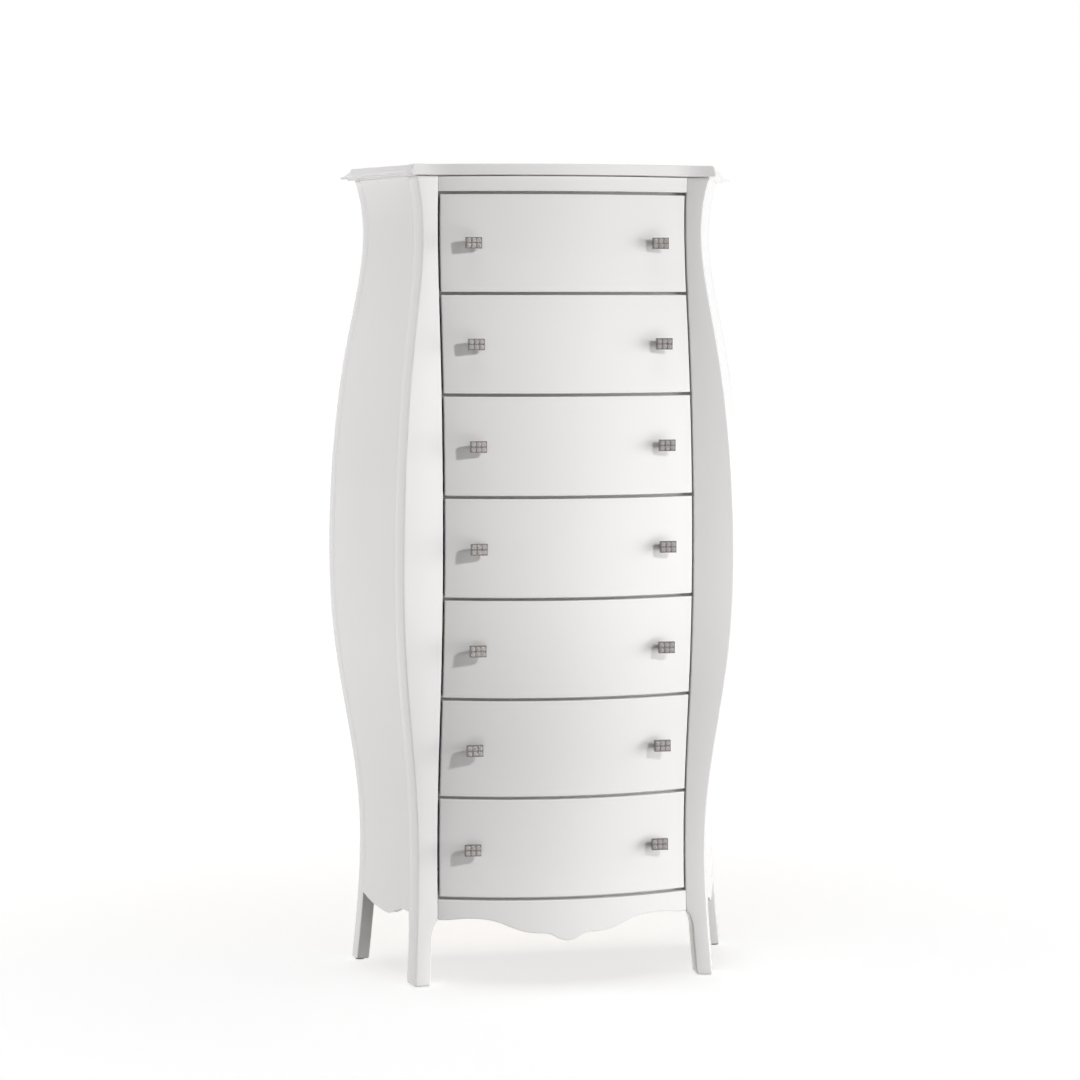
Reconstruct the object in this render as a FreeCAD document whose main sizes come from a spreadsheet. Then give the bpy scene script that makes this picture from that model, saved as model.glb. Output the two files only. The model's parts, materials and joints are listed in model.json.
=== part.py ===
import FreeCAD, Part
import math
import os
import re
import Sketcher

from FreeCAD import Placement, Rotation, Vector

# A tall seven-drawer chest. Its front and sides follow S-curves in height, the front is bowed in
# plan and the sides splay outwards to the rear. X runs across, -Y is the front, +Z is up; the
# origin lies on the floor under the middle of the whole chest.

DRAWERS = 7
HANDS = (("left", -1), ("right", 1))
STATIONS = ("foot", "ankle", "calf", "hip", "belly", "chest", "neck", "crown")
AWAY = 1000.0       # well outside the chest, for blocks that are trimmed to its curves
COVE_MIDDLE = 0.6   # share of a cove's run after which its arc has risen by the rest

# Driving dimensions in millimetres and degrees.
SIZES = (
    # the case as a whole
    ("case_height", 1400.0),         # floor to the top of the top board
    ("case_depth", 239.5),           # front datum plane to the rear plane
    ("side_splay", 16.7),            # angle between each side and the depth direction
    ("front_bow", 42.0),             # rise of the bowed front over the drawer opening
    ("opening_half", 217.5),         # centre line to the inner edge of a front post
    # control points of the case's rear edge, outwards from the drawer opening, from the floor up
    ("side_foot", 119.3),
    ("side_ankle", 109.7),
    ("side_calf", 90.7),
    ("side_hip", 159.2),
    ("side_belly", 163.0),
    ("side_chest", 134.3),
    ("side_neck", 82.4),
    ("side_crown", 113.8),
    # control points of the front's reach ahead of the datum plane, from the floor up
    ("front_foot", 14.0),
    ("front_ankle", 0.8),
    ("front_calf", -24.3),
    ("front_hip", 51.9),
    ("front_belly", 61.6),
    ("front_chest", 33.3),
    ("front_neck", -14.5),
    ("front_crown", 6.4),
    # top board
    ("top_thickness", 21.0),
    ("top_overhang", 10.0),          # front edge ahead of the posts
    ("top_front_eaves", 11.0),       # front corner beyond the splayed side
    ("top_rear_eaves", 24.7),        # rear corner beyond it
    ("top_lip", 6.0),                # upright edge under the cove of each side
    ("top_cove", 20.0),              # how far the cove reaches in from each side
    ("top_strip", 20.0),             # depth of the full-height strip along the front
    # posts and feet
    ("post_depth", 36.0),
    ("post_cant", 7.0),              # angle by which a front post's face turns towards the middle
    ("rear_post_depth", 24.0),
    ("rear_post_width", 21.0),
    ("foot_width", 26.0),            # width of a front leg below the apron
    ("foot_bend_height", 75.0),      # where the leg's inner edge follows its outer one again
    ("glide_radius", 8.0),
    ("glide_thickness", 2.0),
    # panels
    ("panel_thickness", 12.0),
    ("back_thickness", 6.0),
    ("back_rebate", 3.0),            # how far the back panel lies inside the rear plane
    ("side_apron_ends", 120.0),      # lower edge of a side panel where it meets the posts
    ("side_apron_rise_at", 24.0),    # how far it stays level behind the front post
    ("side_apron_drop", 103.0),      # its lowest point
    ("side_apron_drop_at", 84.0),    # and the distance of that behind the front post
    # frieze and apron
    ("frieze_height", 25.0),
    ("front_thickness", 20.0),       # thickness of the frieze, the apron and the drawer fronts
    ("apron_top", 144.7),
    ("apron_ends", 110.0),           # lower edge of the apron beside the posts
    ("apron_rise", 114.0),           # highest point of that edge
    ("apron_rise_at", 160.0),        # and its distance from the centre line
    ("apron_shoulder", 89.5),        # shoulder beside the middle drop
    ("apron_shoulder_at", 42.0),
    ("apron_drop", 77.0),            # middle of that edge
    # drawers
    ("front_gap", 5.2),              # between drawer fronts, and to the frieze and the apron
    ("side_gap", 3.5),               # between a drawer front and a post
    ("drawer_wall", 12.0),
    ("drawer_floor", 5.0),
    ("groove_depth", 5.0),
    ("groove_height", 8.0),          # lower edge of a drawer side to its groove
    ("guide_clearance", 1.0),        # drawer box to its guide, each side
    ("lift_clearance", 4.0),         # drawer box to the rail above it
    ("rear_clearance", 12.0),        # drawer box to the rear rails
    ("seat_clearance", 0.3),         # running gap to what carries or stops a drawer
    # frame inside
    ("divider_height", 16.0),
    ("divider_depth", 32.0),
    ("guide_width", 8.0),
    ("guide_height", 10.0),
    ("ledge_width", 20.0),           # width of the ledge that carries a drawer side
    ("upright_width", 40.0),
    ("rail_depth", 18.0),            # depth of the rear rails and the uprights
    ("rail_height", 45.0),
    ("base_thickness", 12.0),
    ("block_length", 30.0),
    ("block_height", 22.0),
    ("block_screw_setback", 18.0),   # from the front of a corner block to its screw
    ("screw_radius", 2.0),
    ("screw_head_radius", 4.0),
    ("screw_head_height", 2.5),
    ("screw_bite", 10.0),            # length of a screw inside the top board
    # knobs
    ("knob_spread", 162.5),          # centre line to a knob
    ("knob_width", 28.0),
    ("knob_height", 19.5),
    ("knob_head_depth", 8.0),
    ("knob_reach", 25.0),            # drawer front to the face of a knob
    ("knob_stem_radius", 4.5),
    ("knob_flange_radius", 6.0),
    ("knob_flange_thickness", 3.5),
    ("knob_screw_bite", 7.0),        # length of its screw inside a knob
    ("knob_hole_clearance", 0.5),
    ("knob_screw_recess", 2.0),      # how deep its screw's head is let into the front's back
    ("crystal_border", 1.4),         # chrome round and between the crystals
    ("crystal_seat", 2.5),           # depth of a crystal's pocket
    ("crystal_crown", 1.6),          # rise of a crystal above the face of its knob
    ("crystal_facet", 2.0),          # width of the bevel round a crystal's flat top
)
CRYSTAL_COLUMNS = 3
CRYSTAL_ROWS = 2

doc = FreeCAD.newDocument("semainier")
sheet = doc.addObject("Spreadsheet::Sheet", "sizes")
for row, (alias, number) in enumerate(SIZES, start=1):
    sheet.set(f"A{row}", alias)
    sheet.set(f"B{row}", str(number))
    sheet.setAlias(f"B{row}", alias)
doc.recompute()
size = {alias: float(sheet.get(alias)) for alias, _ in SIZES}
nodes = {}       # node name: the document object that holds its shape

splay = math.tan(math.radians(size["side_splay"]))
cant = math.tan(math.radians(size["post_cant"]))
case_top = size["case_height"] - size["top_thickness"]
base_top = size["apron_top"] + size["front_gap"] / 2 - size["divider_height"] / 2


# Curves of the case. A point's reach ahead of the datum plane and its rear half-width are
# functions of its height alone.

def station_curve(kind):
    """Spline over the stations; its value at height z has the offset in x and z in z."""
    count = len(STATIONS)
    spans = count - 3
    knots = [0] * 3 + list(range(spans + 1)) + [spans] * 3
    heights = [sum(knots[i + 1:i + 4]) / 3 / spans * case_top for i in range(count)]
    offsets = [size[f"{kind}_{station}"] for station in STATIONS]
    curve = Part.BSplineCurve()
    curve.buildFromPoles([Vector(x, 0, z) for x, z in zip(offsets, heights)], False, 3)
    return curve


front_curve = station_curve("front")
side_curve = station_curve("side")


def front_reach(z):
    return front_curve.value(z / case_top).x


def rear_half_width(z):
    return size["opening_half"] + side_curve.value(z / case_top).x


def bow(x):
    return size["front_bow"] * (1 - (x / size["opening_half"]) ** 2)


def drawer_foot(number):
    """Height of the lower edge of a drawer's front; drawer 1 is at the top."""
    return size["apron_top"] + size["front_gap"] + (DRAWERS - number) * drawer_pitch


def knob_frame(number, sign):
    """Placement of a knob: its axis meets the bowed front at its origin and points straight ahead."""
    x = sign * size["knob_spread"]
    z = drawer_foot(number) + front_height / 2
    seat = Vector(x, datum - front_reach(z) - bow(x), z)
    return Placement(seat, Rotation(Vector(1, 0, 0), 90))


front_height = (case_top - size["frieze_height"] - size["apron_top"]
                - (DRAWERS + 1) * size["front_gap"]) / DRAWERS
drawer_pitch = front_height + size["front_gap"]

# The chest's box is centred in depth: from its foremost crystal or the belly of its front, whichever
# is further ahead, to the rear.
datum = 0.0
knob_lead = size["knob_reach"] + size["crystal_crown"]
foremost = min(knob_frame(number, 1).Base.y - knob_lead for number in range(1, DRAWERS + 1))
belly = max(front_reach(case_top * step / 400) for step in range(401)) + bow(0)
datum = (max(-foremost, belly) - size["case_depth"]) / 2
rear = datum + size["case_depth"]
rear_inside = rear - size["back_rebate"] - size["back_thickness"]
frame_front = rear_inside - size["rail_depth"]


# Helpers that put objects into the document.

def sized(text):
    """An expression in which each driving dimension is read from the sheet."""
    return re.sub(r"[a-z]\w+", lambda word: f"sizes.{word[0]}" if word[0] in size else word[0], text)


def bind(thing, **expressions):
    for name, text in expressions.items():
        thing.setExpression(name, sized(str(text)))
    return thing


def place(thing, x, y, z):
    for axis, text in zip("xyz", (x, y, z)):
        thing.setExpression(f"Placement.Base.{axis}", sized(str(text)))
    return thing


def box(name, length, width, height, x, y, z):
    block = doc.addObject("Part::Box", name)
    bind(block, Length=length, Width=width, Height=height)
    return place(block, x, y, z)


def cylinder(name, radius, height, x, y, z):
    rod = bind(doc.addObject("Part::Cylinder", name), Radius=radius, Height=height)
    return place(rod, x, y, z)


def common(name, first, second):
    both = doc.addObject("Part::Common", name)
    both.Base = first
    both.Tool = second
    return both


def fused(name, first, second):
    both = doc.addObject("Part::Fuse", name)
    both.Base = first
    both.Tool = second
    return both


def cut(name, whole, *tools):
    for index, tool in enumerate(tools, start=1):
        rest = doc.addObject("Part::Cut", name if index == len(tools) else f"{name}_cut_{index}")
        rest.Base = whole
        rest.Tool = tool
        whole = rest
    return whole


def group(name, things):
    bundle = doc.addObject("Part::Compound", name)
    bundle.Links = things
    return bundle


def form(name, shape):
    thing = doc.addObject("Part::Feature", name)
    thing.Shape = shape
    return thing


def node(name, thing):
    thing.Label = name
    nodes[name] = thing


# Forms: the curved bodies that blocks are trimmed to. No primitive has their double curves.

def closed_face(curve, corners):
    """Flat face between a curve and the straight line through the corners."""
    edge = curve.toShape()
    ends = [edge.lastVertex().Point, *corners, edge.firstVertex().Point]
    lines = [Part.makeLine(a, b) for a, b in zip(ends, ends[1:])]
    return Part.Face(Part.Wire([edge] + lines))


def moved_curve(curve, place_pole):
    moved = curve.copy()
    for index, pole in enumerate(curve.getPoles(), start=1):
        moved.setPole(index, place_pole(pole))
    return moved


def behind_posts(inset):
    """Everything behind the canted posts and the straight line between them, moved back by inset."""
    def behind_curve(x, along):
        curve = moved_curve(front_curve, lambda pole: Vector(x, datum - pole.x + inset, pole.z))
        return closed_face(curve, (Vector(x, AWAY, case_top), Vector(x, AWAY, 0))).extrude(along)

    half = size["opening_half"]
    wings = [behind_curve(sign * half, Vector(sign, -cant, 0) * AWAY) for _, sign in HANDS]
    return behind_curve(-half, Vector(2 * half, 0, 0)).fuse(wings).removeSplitter()


def inside_of_side(sign, inset):
    """Everything on the inner side of one splayed side, moved in by inset, ahead of the rear."""
    level = inset / math.cos(math.radians(size["side_splay"]))
    shift = size["opening_half"] - level
    curve = moved_curve(side_curve, lambda pole: Vector(sign * (pole.x + shift), rear, pole.z))
    face = closed_face(curve, (Vector(-sign * AWAY, rear, case_top), Vector(-sign * AWAY, rear, 0)))
    return face.extrude(Vector(-sign * splay, -1, 0) * AWAY)


def case_form(front_inset, side_inset):
    body = behind_posts(front_inset)
    for _, sign in HANDS:
        body = body.common(inside_of_side(sign, side_inset))
    return body


def bowed_slab(inset, thickness):
    """Slab that follows the bowed front: its face lies inset behind the drawer fronts' face."""
    half = size["opening_half"] + size["front_thickness"]
    rows = []
    for x, lead in ((-half, bow(half)), (0, 2 * size["front_bow"] - bow(half)), (half, bow(half))):
        rows.append([Vector(x, datum - pole.x - lead + inset, pole.z)
                     for pole in front_curve.getPoles()])
    surface = Part.BSplineSurface()
    surface.buildFromPolesMultsKnots(
        rows, [3, 3], front_curve.getMultiplicities(), [0, 1], front_curve.getKnots(),
        False, False, 2, 3)
    return surface.toShape().extrude(Vector(0, thickness, 0))


front_skin = form("front_skin", bowed_slab(0, size["front_thickness"]))
behind_fronts = form("behind_fronts", bowed_slab(size["front_thickness"], AWAY))
divider_start = size["front_thickness"] + size["seat_clearance"]
divider_skin = form("divider_skin", bowed_slab(divider_start, size["divider_depth"]))
behind_dividers = form("behind_dividers", bowed_slab(divider_start + size["divider_depth"], AWAY))
case_whole = case_form(0, 0)
case_inside = form("case_inside", case_form(size["post_depth"], size["panel_thickness"]))
between_rear_posts = form("between_rear_posts", case_form(0, size["rear_post_width"]))


# The case.

def half_width(z, reach):
    """Outer half-width of the case at height z, at reach ahead of the datum plane."""
    return rear_half_width(z) - splay * (size["case_depth"] + reach)


def arris_half(z):
    """Half-width at height z of the arris, where a post's canted front meets the splayed side."""
    shared = half_width(z, front_reach(z)) + splay * cant * size["opening_half"]
    return shared / (1 + splay * cant)


def post_front(x, z):
    """Depth of a front post's face at half-width x and height z."""
    return datum - front_reach(z) - cant * (x - size["opening_half"])


def ease(start, end):
    """Curve with level ends, as in a cyma."""
    step = Vector((end.x - start.x) / 2, 0, 0)
    curve = Part.BezierCurve()
    curve.setPoles([start, start + step, end - step, end])
    return curve.toShape()


def prism(edges, corners, direction):
    """Block over the face that the edges and the straight lines through the corners enclose."""
    ends = [edges[-1].lastVertex().Point, *corners, edges[0].firstVertex().Point]
    lines = [Part.makeLine(a, b) for a, b in zip(ends, ends[1:])]
    return Part.Face(Part.Wire(edges + lines)).extrude(direction)


def front_post():
    """Right front post with its leg, whose inner edge bends out under the apron."""
    def inner_edge(z):
        return Vector(arris_half(z) - size["foot_width"], -AWAY, z)

    fork = Vector(size["opening_half"], -AWAY, size["apron_ends"])
    bend = inner_edge(size["foot_bend_height"])
    sole = size["glide_thickness"]
    knee = Part.BezierCurve()
    knee.setPoles([fork, Vector(bend.x, -AWAY, fork.z - (bend.x - fork.x)), bend])
    shin = Part.BSplineCurve()
    shin.interpolate([bend, inner_edge((bend.z + sole) / 2), inner_edge(sole)])
    corners = (Vector(AWAY, -AWAY, sole), Vector(AWAY, -AWAY, case_top),
               Vector(size["opening_half"], -AWAY, case_top))
    block = prism([knee.toShape(), shin.toShape()], corners, Vector(0, 2 * AWAY, 0))
    return case_whole.common(block).cut(behind_posts(size["post_depth"]))


def rear_zone(sign):
    """Block from the front of the rear posts to the rear plane, from the soles up."""
    corner = Vector(min(0, sign * AWAY), rear - size["rear_post_depth"], size["glide_thickness"])
    return Part.makeBox(AWAY, AWAY, case_top, corner)


def side_panel():
    """Right side panel between its posts, with a lower edge that dips behind the middle."""
    ends = size["side_apron_ends"]
    drop = size["side_apron_drop"]
    front_end = datum - front_reach(ends) + size["post_depth"]
    rear_end = rear - size["rear_post_depth"]
    rise_y = front_end + size["side_apron_rise_at"]
    drop_y = front_end + size["side_apron_drop_at"]
    third = (drop_y - rise_y) / 3
    ease = Part.BezierCurve()
    ease.setPoles([Vector(0, rise_y, ends), Vector(0, rise_y + third, ends),
                   Vector(0, drop_y - third, drop), Vector(0, drop_y, drop)])
    sweep = Part.BezierCurve()
    sweep.setPoles([Vector(0, drop_y, drop), Vector(0, (drop_y + rear_end) / 2, drop),
                    Vector(0, rear_end, ends)])
    corners = (Vector(0, rear_end, case_top), Vector(0, -AWAY, case_top), Vector(0, -AWAY, ends))
    block = prism([ease.toShape(), sweep.toShape()], corners, Vector(AWAY, 0, 0))
    shell = case_whole.cut(inside_of_side(1, size["panel_thickness"]))
    return shell.common(block).common(behind_posts(size["post_depth"]))


def mirrored(shape):
    return shape.mirror(Vector(0, 0, 0), Vector(1, 0, 0))


post = front_post()
panel = side_panel()
for hand, sign in HANDS:
    node(f"front_{hand}_post", form(f"front_{hand}_post", post if sign > 0 else mirrored(post)))
    node(f"{hand}_side_panel", form(f"{hand}_side_panel", panel if sign > 0 else mirrored(panel)))
    rear_post = case_whole.common(rear_zone(sign)).cut(inside_of_side(sign, size["rear_post_width"]))
    node(f"rear_{hand}_post", form(f"rear_{hand}_post", rear_post))


def top_board():
    """Top board: bowed front strip at full height, coved sides, flush rear."""
    front_y = datum - front_reach(case_top) - size["top_overhang"]
    half = size["opening_half"]
    bulge = Part.BezierCurve()
    bulge.setPoles([Vector(half, front_y, case_top),
                    Vector(0, front_y - 2 * size["front_bow"], case_top),
                    Vector(-half, front_y, case_top)])
    front_corner = half_width(case_top, datum - front_y) + size["top_front_eaves"]
    rear_corner = rear_half_width(case_top) + size["top_rear_eaves"]
    corners = (Vector(-front_corner, front_y, case_top),
               Vector(-rear_corner, rear, case_top),
               Vector(rear_corner, rear, case_top),
               Vector(front_corner, front_y, case_top))
    board = prism([bulge.toShape()], corners, Vector(0, 0, size["top_thickness"]))
    strip_end = front_y + size["top_strip"]
    slope = (rear_corner - front_corner) / (rear - front_y)
    start_x = front_corner + slope * size["top_strip"]
    lip_z = case_top + size["top_lip"]
    full_z = case_top + size["top_thickness"]
    cove = Part.Arc(
        Vector(start_x, strip_end, lip_z),
        Vector(start_x - size["top_cove"] * COVE_MIDDLE, strip_end,
               lip_z + (full_z - lip_z) * (1 - COVE_MIDDLE)),
        Vector(start_x - size["top_cove"], strip_end, full_z)).toShape()
    corners = (Vector(start_x - size["top_cove"], strip_end, full_z + size["top_cove"]),
               Vector(start_x + size["top_cove"], strip_end, full_z + size["top_cove"]),
               Vector(start_x + size["top_cove"], strip_end, lip_z))
    scoop = prism([cove], corners, Vector(slope, 1, 0) * AWAY)
    return board.cut(scoop).cut(mirrored(scoop))


top_bare = form("top_bare", top_board())

frieze_block = box("frieze_block", "2 * opening_half", 2 * AWAY, "frieze_height",
                   "-opening_half", -AWAY, "case_height - top_thickness - frieze_height")
node("front_frieze", common("front_frieze", front_skin, frieze_block))


def apron_block():
    """Block whose lower edge is the cupid's bow of the apron."""
    half = size["opening_half"]
    marks = [Vector(-half, -AWAY, size["apron_ends"]),
             Vector(-size["apron_rise_at"], -AWAY, size["apron_rise"]),
             Vector(-size["apron_shoulder_at"], -AWAY, size["apron_shoulder"]),
             Vector(0, -AWAY, size["apron_drop"])]
    marks += [Vector(-mark.x, mark.y, mark.z) for mark in marks[-2::-1]]
    edges = [ease(a, b) for a, b in zip(marks, marks[1:])]
    corners = (Vector(half, -AWAY, size["apron_top"]), Vector(-half, -AWAY, size["apron_top"]))
    return prism(edges, corners, Vector(0, 2 * AWAY, 0))


node("front_apron", common("front_apron", front_skin, form("apron_block", apron_block())))

# The base board fills the case behind the front posts and reaches forward between them.
base_z = f"{base_top} - base_thickness"
tongue = common("base_tongue", behind_fronts,
                box("tongue_block", "2 * opening_half", AWAY, "base_thickness",
                    "-opening_half", f"{rear_inside} - {AWAY}", base_z))
slab = common("base_slab", case_inside,
              box("slab_block", 2 * AWAY, AWAY, "base_thickness",
                  -AWAY, f"{rear_inside} - {AWAY}", base_z))
base_notch = form("base_notches", nodes["rear_left_post"].Shape.fuse(nodes["rear_right_post"].Shape))
node("base_board", cut("base_board", fused("base_whole", tongue, slab), base_notch))

back_block = box("back_block", 2 * AWAY, "back_thickness", f"{case_top} - {base_top} + base_thickness",
                 -AWAY, rear_inside, base_z)
node("back_panel", common("back_panel", between_rear_posts, back_block))


# Frame inside the case: dividers behind the gaps, rear rails, uprights and runners.

def ledge_height(number):
    """Height of the surface that carries a drawer."""
    return drawer_foot(number) + (size["divider_height"] - size["front_gap"]) / 2


dividers = []
for number in range(1, DRAWERS + 1):
    block = box(f"divider_block_{number}", "2 * opening_half", 2 * AWAY, "divider_height",
                "-opening_half", -AWAY, f"{ledge_height(number)} - divider_height")
    dividers.append(common(f"divider_{number}", divider_skin, block))
node("drawer_dividers", group("drawer_dividers", dividers))

rails = []
for name, foot in (("lower_rail", base_top), ("upper_rail", f"{case_top} - rail_height")):
    block = box(f"{name}_block", 2 * AWAY, "rail_depth", "rail_height", -AWAY, frame_front, foot)
    rails.append(common(name, between_rear_posts, block))

for hand, sign in HANDS:
    left_edge = "opening_half - upright_width" if sign > 0 else "-opening_half"
    rails.append(box(f"{hand}_upright", "upright_width", "rail_depth",
                     f"{case_top - base_top} - 2 * rail_height",
                     left_edge, frame_front, f"{base_top} + rail_height"))
node("rear_frame", group("rear_frame", rails))

# A runner is an L: a ledge under the drawer's side and a guide beside it.
guide_half = "(opening_half - guide_width)"
runners = []
for hand, sign in HANDS:
    for number in range(1, DRAWERS + 1):
        name = f"{hand}_runner_{number}"
        inner = f"{guide_half} - ledge_width" if sign > 0 else "-opening_half"
        ledge = box(f"{name}_ledge", "ledge_width + guide_width", AWAY, "divider_height",
                    inner, f"{frame_front} - {AWAY}", f"{ledge_height(number)} - divider_height")
        inner = guide_half if sign > 0 else "-opening_half"
        guide = box(f"{name}_guide", "guide_width", AWAY, "guide_height",
                    inner, f"{frame_front} - {AWAY}", ledge_height(number))
        runners.append(common(name, fused(f"{name}_profile", ledge, guide), behind_dividers))
node("drawer_runners", group("drawer_runners", runners))

# Corner blocks under the top, each with a screw up into it.
blocks = []
screws = []
bores = []
for hand, sign in HANDS:
    block_x = "opening_half - block_length" if sign > 0 else "-opening_half"
    middle_x = f"{sign} * (opening_half - block_length / 2)"
    block_z = f"{case_top} - block_height"
    crown_y = datum - front_reach(case_top) + size["post_depth"]
    for place_name, y in (("front", f"{crown_y} - block_length"),
                          ("rear", f"{frame_front} - block_length")):
        name = f"{place_name}_{hand}"
        cube = box(f"{name}_cube", "block_length", "block_length", "block_height",
                   block_x, y, block_z)
        trimmed = common(f"{name}_trimmed", cube, behind_fronts)
        middle_y = f"{y} + block_screw_setback"
        hole = cylinder(f"{name}_hole", "screw_radius", "block_height", middle_x, middle_y, block_z)
        blocks.append(cut(f"{name}_block", trimmed, hole))
        head = cylinder(f"{name}_head", "screw_head_radius", "screw_head_height",
                        middle_x, middle_y, f"{block_z} - screw_head_height")
        shank = cylinder(f"{name}_shank", "screw_radius", "block_height + screw_bite",
                         middle_x, middle_y, block_z)
        screws.append(fused(f"{name}_screw", head, shank))
        bores.append(shank)
node("corner_blocks", group("corner_blocks", blocks))
node("top_screws", group("top_screws", screws))
node("top_board", cut("top_board", top_bare, *bores))

# Glides under the four feet.
glides = []
for hand, sign in HANDS:
    front_x = arris_half(0) + splay * size["post_depth"] / 2 - size["foot_width"] / 2
    front_y = post_front(front_x, 0) + size["post_depth"] / 2
    rear_x = half_width(0, size["rear_post_depth"] / 2 - size["case_depth"]) - size["rear_post_width"] / 2
    rear_y = rear - size["rear_post_depth"] / 2
    for place_name, x, y in (("front", front_x, front_y), ("rear", rear_x, rear_y)):
        glides.append(cylinder(f"{place_name}_{hand}_glide", "glide_radius", "glide_thickness",
                               sign * x, y, 0))
node("floor_glides", group("floor_glides", glides))


# A knob, built once about its own axis: the drawer front at the origin, face at knob_reach. Its stem
# and flange run on behind the origin, and each drawer's front cuts them to its own curve.

def pocket_centres():
    """Centres of the crystals' pockets, and the width and height of a pocket."""
    border = size["crystal_border"]
    width = (size["knob_width"] - (CRYSTAL_COLUMNS + 1) * border) / CRYSTAL_COLUMNS
    height = (size["knob_height"] - (CRYSTAL_ROWS + 1) * border) / CRYSTAL_ROWS
    centres = [((column - (CRYSTAL_COLUMNS - 1) / 2) * (width + border),
                (line - (CRYSTAL_ROWS - 1) / 2) * (height + border))
               for column in range(CRYSTAL_COLUMNS) for line in range(CRYSTAL_ROWS)]
    return centres, width, height


def rectangle(body, width, height, level):
    """Sketch of a rectangle centred on the body's axis, its sides bound to the sheet."""
    sketch = body.newObject("Sketcher::SketchObject", f"{body.Name}_outline")
    plane = next(item for item in body.Origin.OriginFeatures if item.Role == "XY_Plane")
    sketch.AttachmentSupport = (plane, "")
    sketch.MapMode = "FlatFace"
    sketch.setExpression("AttachmentOffset.Base.z", sized(level))
    corners = [Vector(-9, -6, 0), Vector(9, -6, 0), Vector(9, 6, 0), Vector(-9, 6, 0)]
    for start, end in zip(corners, corners[1:] + corners[:1]):
        sketch.addGeometry(Part.LineSegment(start, end), False)
    for index, direction in enumerate(("Horizontal", "Vertical", "Horizontal", "Vertical")):
        sketch.addConstraint(Sketcher.Constraint("Coincident", index, 2, (index + 1) % 4, 1))
        sketch.addConstraint(Sketcher.Constraint(direction, index))
    sketch.addConstraint(Sketcher.Constraint("Symmetric", 0, 1, 1, 2, -1, 1))
    for name, line, kind, text in (("across", 0, "DistanceX", width), ("upward", 1, "DistanceY", height)):
        number = sketch.addConstraint(Sketcher.Constraint(kind, line, 1, line, 2, 10.0))
        sketch.renameConstraint(number, name)
        sketch.setExpression(f"Constraints.{name}", sized(text))
    return sketch


def knob_head():
    """Rectangular head of a knob, padded outwards from its stem."""
    body = doc.addObject("PartDesign::Body", "knob_head")
    pad = body.newObject("PartDesign::Pad", "knob_head_pad")
    pad.Profile = rectangle(body, "knob_width", "knob_height", "knob_reach - knob_head_depth")
    bind(pad, Length="knob_head_depth")
    return body


stem = fused("knob_stem",
             cylinder("knob_flange", "knob_flange_radius", "2 * knob_flange_thickness", 0, 0,
                      "-knob_flange_thickness"),
             cylinder("knob_shaft", "knob_stem_radius", "knob_reach - knob_head_depth", 0, 0, 0))
centres, pocket_width, pocket_height = pocket_centres()
pockets = [
    box(f"pocket_{index}", pocket_width, pocket_height, "crystal_seat",
        x - pocket_width / 2, y - pocket_height / 2, "knob_reach - crystal_seat")
    for index, (x, y) in enumerate(centres, start=1)]
knob_bore = cylinder("knob_bore", "screw_radius", "knob_flange_thickness + knob_screw_bite", 0, 0,
                     "-knob_flange_thickness")
knob = cut("knob", fused("knob_blank", stem, knob_head()), knob_bore, *pockets)

crystals = []
for index, (pocket, (x, y)) in enumerate(zip(pockets, centres), start=1):
    crown = doc.addObject("Part::Wedge", f"crystal_crown_{index}")
    bind(crown, Xmin=0, Xmax=pocket_width, Ymin=0, Ymax="crystal_crown", Zmin=0, Zmax=pocket_height,
         X2min="crystal_facet", X2max=f"{pocket_width} - crystal_facet",
         Z2min="crystal_facet", Z2max=f"{pocket_height} - crystal_facet")
    crown.Placement.Rotation = Rotation(Vector(1, 0, 0), 90)
    place(crown, x - pocket_width / 2, y + pocket_height / 2, "knob_reach")
    crystals.append(fused(f"crystal_{index}", pocket, crown))
doc.recompute()


# Drawers.

# Machine screw of a knob: from its head, let into the back of the front, to its end in the stem.
knob_grip = "(front_thickness - knob_screw_recess)"
knob_screw = fused("knob_screw",
                   cylinder("knob_screw_head", "screw_head_radius", "screw_head_height", 0, 0,
                            f"-{knob_grip} - screw_head_height"),
                   cylinder("knob_screw_shank", "screw_radius", f"{knob_grip} + knob_screw_bite",
                            0, 0, f"-{knob_grip}"))
# What is bored out of the front for it.
knob_hole = fused("knob_hole",
                  cylinder("knob_screw_hole", "screw_radius + knob_hole_clearance",
                           "2 * front_thickness", 0, 0, "-front_thickness"),
                  cylinder("knob_screw_seat", "screw_head_radius + knob_hole_clearance",
                           "front_thickness", 0, 0, f"-{knob_grip} - front_thickness"))
doc.recompute()


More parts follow.
